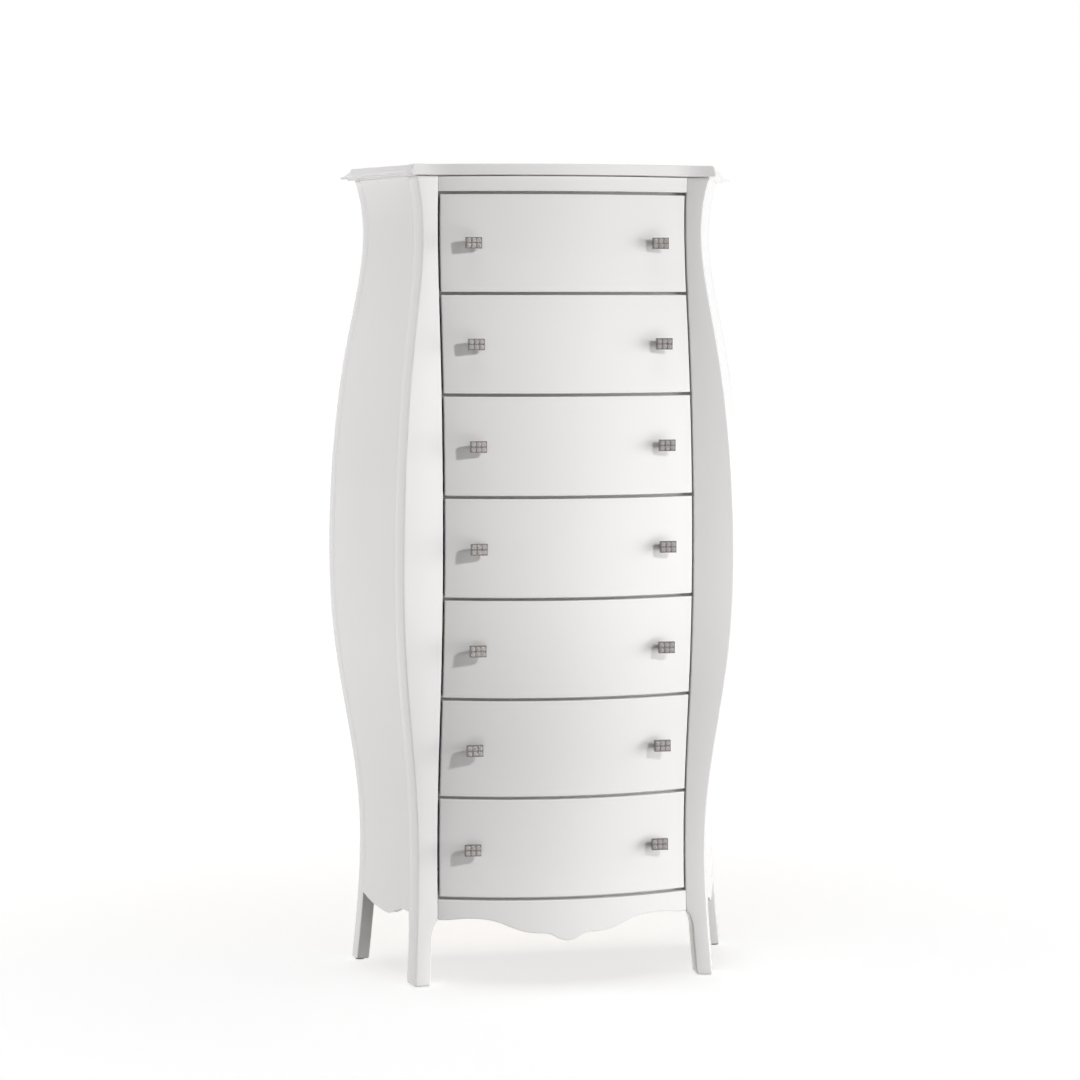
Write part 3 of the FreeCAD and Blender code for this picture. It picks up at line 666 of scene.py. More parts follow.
def plain_mesh(name, points, edges=(), faces=()):
    mesh = bpy.data.meshes.new(name)
    mesh.from_pydata([tuple(point) for point in points], edges, faces)
    return mesh


def closed_mesh(name, finish, points, faces, sharp=None):
    """Mesh with its doubles merged and its faces turned outwards."""
    mesh = plain_mesh(name, points, faces=faces)
    shell = bmesh.new()
    shell.from_mesh(mesh)
    bmesh.ops.remove_doubles(shell, verts=shell.verts, dist=DOUBLES)
    bmesh.ops.recalc_face_normals(shell, faces=shell.faces)
    shell.to_mesh(mesh)
    shell.free()
    mesh.materials.append(paint(finish))
    return smooth(mesh, sharp)


def samples(extent, radius, spacing):
    """Places along an edge of a rounded block: close in the rounding, even between."""
    near = [radius - radius * math.tan(math.pi / 4 * step / ROUND_STEPS)
            for step in range(ROUND_STEPS, -1, -1)] + [radius * 1.5]
    start = near[-1]
    number = max(1, round((extent - 2 * start) / spacing))
    middle = [start + (extent - 2 * start) * step / number for step in range(1, number)]
    return near + middle + [extent - away for away in reversed(near)]


def rounded_block(extents, radius, spacing, warp):
    """Points and faces of a block with rounded edges, each point moved by warp(u, v, w)."""
    places = [samples(extent, radius, gap) for extent, gap in zip(extents, spacing)]
    found = {}
    points = []
    faces = []

    def vertex(key):
        if key not in found:
            flat = Vector([places[axis][key[axis]] for axis in range(3)])
            core = Vector([limited(flat[axis], radius, extents[axis] - radius)
                           for axis in range(3)])
            found[key] = len(points)
            points.append(warp(*(core + (flat - core).normalized() * radius)))
        return found[key]

    for axis in range(3):
        first, second = (axis + 1) % 3, (axis + 2) % 3
        for end in (0, len(places[axis]) - 1):
            for i in range(len(places[first]) - 1):
                for j in range(len(places[second]) - 1):
                    ring = []
                    for right, up in ((0, 0), (1, 0), (1, 1), (0, 1)):
                        key = [end] * 3
                        key[first] = i + right
                        key[second] = j + up
                        ring.append(vertex(tuple(key)))
                    faces.append(ring)
    return points, faces


def stretched(where, nominal, actual, margin):
    """Place on a stretched edge whose margins keep their size."""
    return where + (actual - nominal) * limited((where - margin) / (nominal - 2 * margin))


def outline(corners, radii, inset, z):
    """Closed ring of points: a convex polygon, moved in by inset, with rounded corners."""
    ring = []
    for index, (corner, radius) in enumerate(zip(corners, radii)):
        before = (corner - corners[index - 1]).normalized()
        after = (corners[(index + 1) % len(corners)] - corner).normalized()
        inward = [Vector((-way.y, way.x)) for way in (before, after)]
        towards = (inward[0] + inward[1]) / (1 + inward[0].dot(inward[1]))
        turn = max(radius - inset, 0.0001)
        centre = corner + towards * (inset + turn)
        for step in range(ROUND_STEPS + 1):
            way = inward[0].slerp(inward[1], step / ROUND_STEPS)
            ring.append(Vector((*(centre - way * turn), z)))
    return ring


def lofted(rings, strips=False):
    """Points and faces of a solid through rings; strips or a polygon close each end."""
    around = len(rings[0])
    points = [point for ring in rings for point in ring]
    near = list(range(around))
    far = list(range(len(points) - around, len(points)))
    faces = [near, far]
    if strips:
        faces = [[ring[step], ring[step + 1], ring[-2 - step], ring[-1 - step]]
                 for ring in (near, far[::-1]) for step in range(around // 2 - 1)]
    for start in range(0, len(points) - around, around):
        for index in range(around):
            ahead = (index + 1) % around
            faces.append([start + index, start + ahead, start + around + ahead,
                          start + around + index])
    return points, faces


def seats_mesh(places):
    """Loose points that carry where and how a grown piece sits."""
    mesh = plain_mesh("seats", [seat.translation for seat in places])
    turns = mesh.attributes.new("turn", "FLOAT_VECTOR", "POINT")
    for datum, seat in zip(turns.data, places):
        datum.vector = seat.to_euler()
    return mesh


def curves_mesh(form, edge, setback):
    """Upright line over the case; its points carry the two curves of a bowed piece.

    "lead" is the depth of the piece beside the opening, from the floor to the top of the case,
    and "edge" the height of its lower edge, from the centre line to the post.
    """
    heights = [form.case_top * step / CURVE_STEPS for step in range(CURVE_STEPS + 1)]
    mesh = plain_mesh("curves", [(0, 0, z) for z in heights],
                      [(step, step + 1) for step in range(CURVE_STEPS)])
    leads = mesh.attributes.new("lead", "FLOAT", "POINT")
    edges = mesh.attributes.new("edge", "FLOAT", "POINT")
    for step, z in enumerate(heights):
        leads.data[step].value = form.datum - form.reach(z) + setback
        edges.data[step].value = edge(form.half * step / CURVE_STEPS)
    return mesh


def grown(name, tree, base, values, bevel=0.0, sharp=None):
    """Plain mesh that a geometry tree grows from a base mesh."""
    seed = linked(name + "_seed", base)
    modifier = seed.modifiers.new("grow", "NODES")
    modifier.node_group = tree
    for item in tree.interface.items_tree:
        if item.item_type == "SOCKET" and item.in_out == "INPUT" and item.name in values:
            modifier[item.identifier] = values[item.name]
    if bevel:
        edge = seed.modifiers.new("edges", "BEVEL")
        edge.width = bevel
        edge.segments = 2
        edge.limit_method = "ANGLE"
        edge.angle_limit = math.radians(BEVEL_FROM)
    seed.update_tag()
    evaluated = seed.evaluated_get(bpy.context.evaluated_depsgraph_get())
    mesh = bpy.data.meshes.new_from_object(evaluated)
    mesh.name = name
    seed.modifiers.clear()
    bpy.data.objects.remove(seed)
    bpy.data.meshes.remove(base)
    return smooth(mesh, sharp)


# Trees that grow what follows a rule or repeats.

def bowed_tree(finish, values):
    """Slab with rounded edges: bowed in plan, curved in height, its lower edge on a curve."""
    make = Maker("grow_bowed_slab", values)
    size = make.sizes
    rounding = size["rounding"]
    layers = 2 * ROUND_STEPS + 4
    block = make.add("GeometryNodeMeshCube", None, {
        "Size": (2, 2, 2), "Vertices X": size["columns"] + 1, "Vertices Y": layers + 1,
        "Vertices Z": size["rows"] + 1})

    def spread(axis, extent, number):
        """Place along an edge, -1 to 1 on the raw block: close in the rounding, even between."""
        raw = make.position(axis)
        quads = (1 - raw.math("ABSOLUTE")) * number * 0.5
        turn = math.pi / 4 * (1 - make.between(quads, 0.0, ROUND_STEPS))
        bend = rounding * (1 - turn.math("TANGENT"))
        brink = rounding * 0.5 * make.between(quads, ROUND_STEPS, ROUND_STEPS + 1)
        rest = (extent * 0.5 - rounding * 1.5) * make.between(quads, ROUND_STEPS + 1, number * 0.5)
        return raw.math("SIGN") * (extent * 0.5 - bend - brink - rest)

    def core(where, extent):
        limit = extent * 0.5 - rounding
        return where.math("MINIMUM", limit).math("MAXIMUM", -limit)

    extents = (size["width"], size["thickness"], size["height"])
    flat = [spread(*axis) for axis in zip("XYZ", extents, (size["columns"], layers, size["rows"]))]
    inner = make.vector(*(core(*pair) for pair in zip(flat, extents)))
    arm = make.vector_math("SUBTRACT", make.vector(*flat), inner)
    arm = make.vector_math("SCALE", make.vector_math("NORMALIZE", arm), Scale=rounding)
    x = make.parts(make.vector_math("ADD", inner, arm))
    curve = make.add("GeometryNodeMeshToCurve", None, {"Mesh": make.incoming})

    def on_curve(name, factor):
        return make.add("GeometryNodeSampleCurve", {"mode": "FACTOR"}, {
            "Curves": curve, "Value": make.carried(name), "Factor": factor})

    off_centre = x.math("ABSOLUTE") / size["half"]
    low = on_curve("edge", off_centre)
    margin = rounding * 4
    rise = x.other("Z") + size["height"] * 0.5
    stretch = make.between(rise, margin, size["height"] - margin)
    z = low + rise + (size["top"] - low - size["height"]) * stretch
    lead = on_curve("lead", z / size["case_top"])
    y = lead - size["bow"] * (1 - off_centre * off_centre) + x.other("Y") + size["thickness"] * 0.5
    shaped = make.add("GeometryNodeSetPosition", None,
                      {"Geometry": block, "Position": make.vector(x, y, z)})
    return make.end(shaped, paint(finish))


# Each turns gently from one share to another between two places on the knob.
FLARE = (0.7, 1.3, 1.0, 0.0)          # places in thicknesses of the flange
WAIST = (0.32, 1.0, 0.84, 1.0)        # places along the stem
STEM_RINGS = 33
GIRDLE = 0.25                         # of a stone, as a share of its pocket's depth
CULET_DEPTH = 0.95                    # of the stone's point, as such a share
CULET_WIDTH = 0.12                    # as a share of the stone's width
CULET_THICKNESS = 0.00005
TABLE_RADIUS = 0.54                   # as a share of the stone's width within its facets


def screw(make, radius, length, head, head_height, seat=0.0, rise=0.5):
    """Shank on one side of its seat and, under the seat, a head with a cross recess."""
    shank = make.moved(make.cylinder(radius, length, 24), z=length * rise)
    cap = make.moved(make.cylinder(head, head_height), z=seat - head_height / 2)
    bar = make.cuboid(head * 1.25, head * 0.28, head_height)
    bars = [make.moved(bar, z=seat - head_height, Rotation=(0, 0, turn))
            for turn in (0, math.pi / 2)]
    return shank, make.less(cap, *bars)


def knob_tree(finish, values):
    """Chrome knob: lattice head, turned stem and flange, and its screw behind the front."""
    make = Maker("grow_knobs", values)
    size = make.sizes
    shaft = size["reach"] - size["head_depth"]
    cell_x, cell_y, grid = make.cells()
    head = make.moved(make.cuboid(size["width"], size["height"], size["head_depth"]),
                      z=size["reach"] - size["head_depth"] / 2)
    pocket = make.cuboid(cell_x - size["border"], cell_y - size["border"], size["pocket"] * 2)
    head = make.less(head, make.set_on(grid, pocket))

    line = make.add("GeometryNodeCurvePrimitiveLine", None,
                    {"Start": make.vector(z=-size["flange_depth"]), "End": make.vector(z=shaft)})
    line = make.add("GeometryNodeResampleCurve", None, {"Curve": line, "Count": STEM_RINGS})
    height = make.position("Z")
    flare = make.eased(height / size["flange_depth"], *FLARE)
    waist = make.eased(height / shaft, *WAIST)
    girth = size["stem"] * waist + (size["flange"] - size["stem"]) * flare
    circle = make.add("GeometryNodeCurvePrimitiveCircle", None, {"Resolution": 40, "Radius": 1.0})
    turned = make.add("GeometryNodeCurveToMesh", None, {
        "Curve": line, "Profile Curve": circle, "Scale": girth, "Fill Caps": True})
    shank, cap = screw(make, size["screw_radius"], size["grip"], size["screw_head"],
                       size["screw_head_height"], seat=-size["grip"], rise=-0.5)
    return make.end_on_seats(make.joined(head, turned, shank, cap), paint(finish))


def crystal_tree(finish, values):
    """Square-cut stones: octagonal table, sloping crown facets, girdle and pointed pavilion."""
    make = Maker("grow_crystals", values)
    size = make.sizes
    cell_x, cell_y, grid = make.cells()
    stone_x = cell_x - size["border"]
    stone_y = cell_y - size["border"]
    girdle = make.cuboid(stone_x, stone_y, size["pocket"] * GIRDLE)
    table = make.add("GeometryNodeMeshCircle", None, {"Vertices": 8, "Radius": TABLE_RADIUS})
    table = make.moved(
        table, z=size["crown"], Rotation=(0, 0, math.radians(22.5)),
        Scale=make.vector(stone_x - size["facet"] * 2, stone_y - size["facet"] * 2, 1.0))
    culet = make.cuboid(stone_x * CULET_WIDTH, stone_y * CULET_WIDTH, CULET_THICKNESS)
    culet = make.moved(culet, z=size["pocket"] * -CULET_DEPTH)
    stone = make.add("GeometryNodeConvexHull", None,
                     {"Geometry": make.joined(girdle, table, culet)})
    # Each stone's own place, from which the crystal shader paints its reflections as light and
    # dark wedges.
    share_of = make.vector_math("DIVIDE", make.add("GeometryNodeInputPosition"),
                                make.vector(stone_x, stone_y, 1.0))
    stone = make.add("GeometryNodeStoreNamedAttribute", {"data_type": "FLOAT_VECTOR"}, {
        "Geometry": stone, "Name": "cut", "Value": share_of})
    return make.end_on_seats(make.set_on(grid, stone), paint(finish))


def screw_tree(finish, values):
    """Wood screw with a cross recess; its head hangs under the seat."""
    make = Maker("grow_screws", values)
    return make.end_on_seats(make.joined(*screw(make, **make.sizes)), paint(finish))


def glide_tree(finish, values):
    """Round nail-on glide."""
    make = Maker("grow_glides", values)
    thickness = make.sizes["thickness"]
    disc = make.moved(make.cylinder(make.sizes["radius"], thickness, 48), z=thickness / 2)
    return make.end_on_seats(disc, paint(finish))


# Operators.

class Dresser:
    """What the operators of the chest share."""
    bl_options = {"REGISTER", "UNDO"}

    def execute(self, context):
        self.dress(Form(context.scene))
        return {"FINISHED"}


class SEMAINIER_OT_posts(Dresser, bpy.types.Operator):
    """Lofts the four posts with their legs"""
    bl_idname = "semainier.posts"
    bl_label = "Posts"

    SOLE_STEPS = 5
    SPACING = 0.008        # between the sections of a post
    FADE = 0.02            # height over which a leg's hidden edges get rounder

    def dress(self, form):
        for hand, sign in HANDS:
            for where, section in (("front", self.front_section), ("rear", self.rear_section)):
                rings = []
                for z, inset in self.levels(form):
                    corners, radii = section(form, z)
                    corners = [Vector((sign * corner.x, corner.y)) for corner in corners]
                    rings.append(outline(corners[::sign], radii[::sign], inset, z))
                name = f"{where}_{hand}_post"
                mesh = closed_mesh(name, "lacquer", *lofted(rings))
                add_piece(f"lacquered_{name}", mesh, CASE, "lacquer", name)

    def levels(self, form):
        """Heights and insets of a post's sections: rounded at its sole, even above."""
        rounding = form.edges.foot
        rows = []
        for step in range(self.SOLE_STEPS + 1):
            turn = math.pi / 2 * step / self.SOLE_STEPS
            rows.append((form.sole + rounding * (1 - math.cos(turn)),
                         rounding * (1 - math.sin(turn))))
        start = form.sole + rounding
        number = round((form.case_top - start) / self.SPACING)
        return rows + [(start + (form.case_top - start) * step / number, 0.0)
                       for step in range(1, number + 1)]

    def hidden_edge(self, form, end, z):
        """Radius of an edge that is free only below the end of its panel."""
        below = limited((end - z) / self.FADE)
        return form.edges.joint + (form.edges.post - form.edges.joint) * below

    def front_section(self, form, z):
        """Corners of the right front post, anticlockwise from its inner front edge."""
        depth = form.case.post_depth
        inner = form.leg_inside(z)
        face = form.post_face(inner, z)
        corners = [Vector((inner, face)), form.corner(z, 0).xy, form.corner(z, depth).xy,
                   Vector((inner, face + depth))]
        back = self.hidden_edge(form, form.apron.ends, z)
        return corners, [form.edges.post, form.edges.arris, back, back]

    def rear_section(self, form, z):
        """Corners of the right rear post, anticlockwise from its inner front edge."""
        width = form.case.rear_post_width
        front = form.rear - form.case.rear_post_depth
        spots = ((front, width), (front, 0), (form.rear, 0), (form.rear, width))
        corners = [Vector((form.side(y, z, inset), y)) for y, inset in spots]
        radius = self.hidden_edge(form, form.case.side_ends, z)
        return corners, [radius, radius, form.edges.post, form.edges.post]


class SEMAINIER_OT_side_panels(Dresser, bpy.types.Operator):
    """Bends the two side panels between their posts"""
    bl_idname = "semainier.side_panels"
    bl_label = "Side panels"

    SPACING = (0.006, 0.010, 0.006)        # between the points along depth, height, thickness

    def dress(self, form):
        case = form.case
        height = form.case_top - case.side_ends
        depth = case.depth - case.post_depth - case.rear_post_depth
        rear_end = form.rear - case.rear_post_depth
        drop = case.side_ends - case.side_drop
        radius = form.edges.joint

        def lower_edge(u):
            """Height of the lower edge at a distance behind the front post."""
            if u > case.side_drop_at:
                part = (u - case.side_drop_at) / (depth - case.side_drop_at)
                return case.side_drop + drop * part ** 2
            part = max(u - case.side_rise_at, 0) / (case.side_drop_at - case.side_rise_at)
            return case.side_ends - drop * part ** 2 * (3 - 2 * part)

        for hand, sign in HANDS:
            def warp(u, v, w, sign=sign):
                low = lower_edge(u)
                z = low + stretched(v, height, form.case_top - low, 4 * radius)
                front_end = form.corner(z, case.post_depth, w).y
                y = front_end + stretched(u, depth, rear_end - front_end, 4 * radius)
                return Vector((sign * form.side(y, z, w), y, z))

            name = f"{hand}_side_panel"
            block = rounded_block((depth, height, case.panel_thickness), radius, self.SPACING,
                                  warp)
            mesh = closed_mesh(name, "lacquer", *block)
            add_piece(f"lacquered_{name}", mesh, CASE, "lacquer", name)


class SEMAINIER_OT_top_board(Dresser, bpy.types.Operator):
    """Carves the moulded top board"""
    bl_idname = "semainier.top_board"
    bl_label = "Top board"

    SHARP = 40                  # degrees from which an edge of the board looks sharp
    COVE_CURVE = 1.8            # power of the cove's rise from its lip
    END_CURVE = (2.4, 0.6)      # powers of the rounded end of the front strip
    STRIP_BLEND = 0.0012        # length of the step behind the front strip
    REBATE_RAMP = 0.0022        # width over which the shadow gap opens
    EDGE_STEPS = 5              # quads across a rounded edge
    EDGE_END = 1.4              # last row or column of an edge, in its radii
    # Columns: distances from the side edge, and across the groove in its depths.
    COVE_GAPS = (0.0035, 0.005, 0.007, 0.009, 0.011, 0.0188, 0.0196, 0.020, 0.0205, 0.022)
    GROOVE_STEPS = (-1.3, -1, -0.5, 0, 0.5, 1, 1.3)
    # Rows: spacing on the front strip and on the step, and places behind them.
    STRIP_GAP = 0.0022
    STEP_GAP = 0.0003
    STEP_MARGIN = 0.001         # from the strip's last row to the step's first
    FIELD_MARGIN = 0.003        # from the step and the rear edge to the even rows
    FIELD_ROWS = 40
    REAR_GAPS = (0.002, 0.001, 0)

    def dress(self, form):
        top = form.top
        low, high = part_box("top_board")
        front_y = form.datum - form.reach(form.case_top) - top.overhang
        front_half = form.side(front_y, form.case_top) + top.front_eaves
        rear_half = form.rear_half(form.case_top) + top.rear_eaves
        slope = (rear_half - front_half) / (form.rear - front_y)
        strip_end = front_y + top.strip
        radius = form.edges.top
        full = high.z - low.z

        def front_edge(x):
            """Depth of the front edge, which follows the bow."""
            return front_y - max(form.bow(x), 0)

        def thickness(y, side_gap):
            """Thickness of the board at a distance from its side edge."""
            part = min(side_gap / top.cove, 1)
            coved = top.lip + (full - top.lip) * part ** self.COVE_CURVE
            coved -= top.quirk * (1 - min(abs(side_gap - top.quirk_at) / top.quirk, 1))
            part = min(side_gap / top.strip_return, 1)
            bulge, flat = self.END_CURVE
            ended = top.lip + (full - top.lip) * (1 - (1 - part) ** bulge) ** flat
            past = limited((y - strip_end) / self.STRIP_BLEND + 0.5)
            return ended + (coved - ended) * past * past * (3 - 2 * past)

        def relief(gaps, rise=radius):
            """How far a rounded edge lies from the flat face near the board's edges."""
            away = [max(radius - gap, 0) / radius for gap in gaps]
            return rise * (1 - math.sqrt(max(1 - sum(gap ** 2 for gap in away), 0)))

        fine = [radius * (1 - math.cos(math.pi / 2 * step / self.EDGE_STEPS))
                for step in range(self.EDGE_STEPS + 1)] + [radius * self.EDGE_END]
        groove = [top.quirk_at + top.quirk * step for step in self.GROOVE_STEPS]
        gaps = sorted([*fine, *self.COVE_GAPS, *groove])
        ahead = fine + [fine[-1] + self.STRIP_GAP * step for step in range(1, 8)]
        field = form.rear - strip_end - 2 * self.FIELD_MARGIN
        behind = [strip_end + step * self.STEP_GAP for step in range(-3, 4)]
        behind += [strip_end + self.FIELD_MARGIN + field * step / self.FIELD_ROWS
                   for step in range(self.FIELD_ROWS + 1)]
        behind += [form.rear - gap for gap in self.REAR_GAPS]

        def column_places(half):
            """Places across the board from its left edge to its right one."""
            inside = half - gaps[-1]
            left = [gap - half for gap in gaps] + [-inside * (1 - 0.1 * step)
                                                   for step in range(1, 10)]
            return left + [0.0] + [-x for x in reversed(left)]

        def row(index, x):
            """Depth of a row at x; the rows near the front follow its bow."""
            edge = front_edge(x)
            if index >= len(ahead):
                return behind[index - len(ahead)]
            if index < len(fine):
                return edge + ahead[index]
            return edge + (behind[0] - self.STEP_MARGIN - edge) * (ahead[index] / ahead[-1])

        rings = []
        for index in range(len(ahead) + len(behind)):
            half = front_half + slope * max(row(index, 2 * form.half) - front_y, 0)
            upper = []
            lower = []
            for x in column_places(half):
                y = row(index, x)
                near = (half - abs(x), y - front_edge(x))
                upper.append(Vector((x, y, low.z + thickness(y, near[0]) - relief(near))))
                rebate = limited((top.rebate_depth - min(near)) / self.REBATE_RAMP) * top.rebate
                rebate += relief((*near, form.rear - y), top.undercut)
                lower.append(Vector((x, y, low.z + rebate)))
            rings.append(upper + lower[::-1])
        mesh = closed_mesh("top_board", "lacquer", *lofted(rings, strips=True), self.SHARP)
        add_piece("lacquered_top", mesh, CASE, "lacquer", "top_board")


class SEMAINIER_OT_bowed_fronts(Dresser, bpy.types.Operator):
    """Grows the frieze, the drawer fronts and the apron on the curves of the case"""
    bl_idname = "semainier.bowed_fronts"
    bl_label = "Bowed fronts"

    APRON_SHARE = 0.6        # of the apron's height, above its cut-out edge
    RAIL_DROP = 0.009        # closing rail below the frieze
    RAIL_LAP = 0.004         # and up behind it
    RAIL_GAP = 0.0005        # between the two
    # Quads across and up each kind of piece.
    RAIL_GRID = (58, 14)
    FRONT_GRID = (58, 34)
    APRON_GRID = (120, 22)

    def dress(self, form):
        def sizes(box, rounding, grid, part=1):
            """Values of the tree's inputs for a piece between two corners."""
            low, high = box
            return {"width": high.x - low.x, "height": (high.z - low.z) * part, "top": high.z,
                    "thickness": form.case.front_thickness, "rounding": rounding,
                    "bow": form.case.front_bow, "half": form.half, "case_top": form.case_top,
                    "columns": grid[0], "rows": grid[1]}

        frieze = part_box("front_frieze")
        tree = bowed_tree("lacquer", sizes(frieze, form.edges.joint, self.RAIL_GRID))

        def grow(name, body, box, rounding, grid, edge=None, setback=0.0):
            """Piece between two corners; its lower edge is level unless it has a curve."""
            values = sizes(box, rounding, grid, self.APRON_SHARE if edge else 1)
            curves = curves_mesh(form, edge or (lambda x: box[0].z), setback)
            add_piece(f"lacquered_{name}", grown(name, tree, curves, values), body, "lacquer",
                      *([] if setback else [name]))

        grow("front_frieze", CASE, frieze, form.edges.joint, self.RAIL_GRID)
        for number in range(1, DRAWERS + 1):
            name = f"drawer_{number}_front"
            grow(name, f"drawer_{number}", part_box(name), form.edges.front, self.FRONT_GRID)
        grow("front_apron", CASE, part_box("front_apron"), form.edges.front, self.APRON_GRID,
             form.apron_edge)
        closing = (frieze[0] - Vector((0, 0, self.RAIL_DROP)),
                   Vector((*frieze[1].xy, frieze[0].z + self.RAIL_LAP)))
        grow("frieze_rail", CASE, closing, form.edges.joint, self.RAIL_GRID,
             setback=form.case.front_thickness + self.RAIL_GAP)


class SEMAINIER_OT_drawer_boxes(Dresser, bpy.types.Operator):
    """Makes the sides, bottoms and backs of the drawer boxes"""
    bl_idname = "semainier.drawer_boxes"
    bl_label = "Drawer boxes"

    NOMINAL = 0.2                          # length of a board before it is stretched
    BOARD_SPACING = (0.02, 0.02, 0.01)     # between its points along x, y and z
    BACK_SPACING = (0.04, 0.01, 0.03)

    def dress(self, form):
        for number in range(1, DRAWERS + 1):
            body = f"drawer_{number}"
            low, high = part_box(f"{body}_sides")
            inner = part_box(f"{body}_back")[1].x
            points = []
            faces = []
            for _, sign in HANDS:
                left, right = sorted((sign * inner, sign * high.x))
                more = self.board(form, Vector((left, 0, low.z)), Vector((right, *high.yz)))
                faces += [[index + len(points) for index in face] for face in more[1]]
                points += more[0]
            self.add(body, "sides", "wood_Y", points, faces)
            self.add(body, "bottom", "wood_X", *self.board(form, *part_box(f"{body}_bottom")))
            low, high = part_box(f"{body}_back")
            block = rounded_block(high - low, form.edges.board, self.BACK_SPACING,
                                  lambda u, v, w: low + Vector((u, v, w)))
            self.add(body, "back", "wood_X", *block)

    def board(self, form, low, high):
        """Board whose front end follows the back of the bowed drawer front."""
        nominal = self.NOMINAL
        radius = form.edges.board

        def warp(u, v, w):
            x = low.x + u
            z = low.z + w
            start = form.front(x, z) + form.case.front_thickness
            return Vector((x, start + stretched(v, nominal, high.y - start, 2 * radius), z))

        return rounded_block((high.x - low.x, nominal, high.z - low.z), radius,
                             self.BOARD_SPACING, warp)

    @staticmethod
    def add(body, part, finish, points, faces):
        mesh = closed_mesh(f"{body}_{part}", finish, points, faces)
        add_piece(f"box_{part}_{body[-1]}", mesh, body, "inner_wood", f"{body}_{part}")


class SEMAINIER_OT_knobs(Dresser, bpy.types.Operator):
    """Grows the chrome knobs and their crystals on the drawer fronts"""
    bl_idname = "semainier.knobs"
    bl_label = "Crystal knobs"

    SHARED = ("width", "height", "reach", "border", "pocket", "columns", "rows")
    METAL = ("head_depth", "stem", "flange", "flange_depth", "screw_radius", "screw_head",
             "screw_head_height")

    def dress(self, form):
        knob = form.knob

        def values(*names):
            return {name: getattr(knob, name) for name in (*self.SHARED, *names)}

        metal = {**values(*self.METAL), "grip": form.case.front_thickness - knob.recess}
        stones = values("crown", "facet")
        metal_tree = knob_tree("chrome", metal)
        stone_tree = crystal_tree("crystal", stones)
        for number in range(1, DRAWERS + 1):
            body = f"drawer_{number}"
            places = [form.knob_seat(number, sign) for _, sign in HANDS]
            mesh = grown(f"knobs_{number}", metal_tree, seats_mesh(places), metal, knob.bevel,
                         CREASE)
            add_piece(f"chrome_knobs_{number}", mesh, body, "chrome", f"{body}_knobs")
            mesh = grown(f"stones_{number}", stone_tree, seats_mesh(places), stones, sharp=0)
            add_piece(f"crystals_{number}", mesh, body, "crystal", f"{body}_crystals")


class SEMAINIER_OT_hardware(Dresser, bpy.types.Operator):
    """Grows the screws under the top and the glides under the feet"""
    bl_idname = "semainier.hardware"
    bl_label = "Screws and glides"

    def dress(self, form):
        knob = form.knob
        head = knob.screw_head
        low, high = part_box("top_screws")
        seat = low.z + knob.screw_head_height
        values = {"radius": knob.screw_radius, "length": high.z - seat, "head": head,
                  "head_height": knob.screw_head_height}
        places = [(x, y, seat) for x in (low.x + head, high.x - head)
                  for y in (low.y + head, high.y - head)]
        self.add("screws", screw_tree, "plated_steel", values, places, knob.bevel,
                 "top_board_screws", "screw_steel", "top_screws")

        low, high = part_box("floor_glides")
        radius = knob.glide_radius
        front_x = form.corner(0, form.case.post_depth / 2).x - form.case.foot_width / 2
        spots = ((front_x, low.y + radius), (high.x - radius, high.y - radius))
        places = [(sign * x, y, low.z) for _, sign in HANDS for x, y in spots]
        self.add("glides", glide_tree, "nylon", {"radius": radius, "thickness": high.z - low.z},
                 places, knob.glide_bevel, "feet_glides", "glide", "floor_glides")

    @staticmethod
    def add(name, tree, finish, values, places, bevel, piece, slot, node):
        seats = seats_mesh([Matrix.Translation(spot) for spot in places])
        mesh = grown(name, tree(finish, values), seats, values, bevel, CREASE)
        add_piece(piece, mesh, CASE, slot, node)


class SEMAINIER_OT_inner_frame(Dresser, bpy.types.Operator):
    """Finishes the frame inside the case"""
    bl_idname = "semainier.inner_frame"
    bl_label = "Inner frame"

    FINISHES = {"base_board": "wood_X", "back_panel": "wood_Z", "drawer_dividers": "lacquer",
                "rear_frame": "wood_Z", "drawer_runners": "wood_Y", "corner_blocks": "wood_Y"}

    def dress(self, form):
        for name, finish in self.FINISHES.items():
            materials = frame["nodes"][name].data.materials
            materials.clear()
            materials.append(paint(finish))


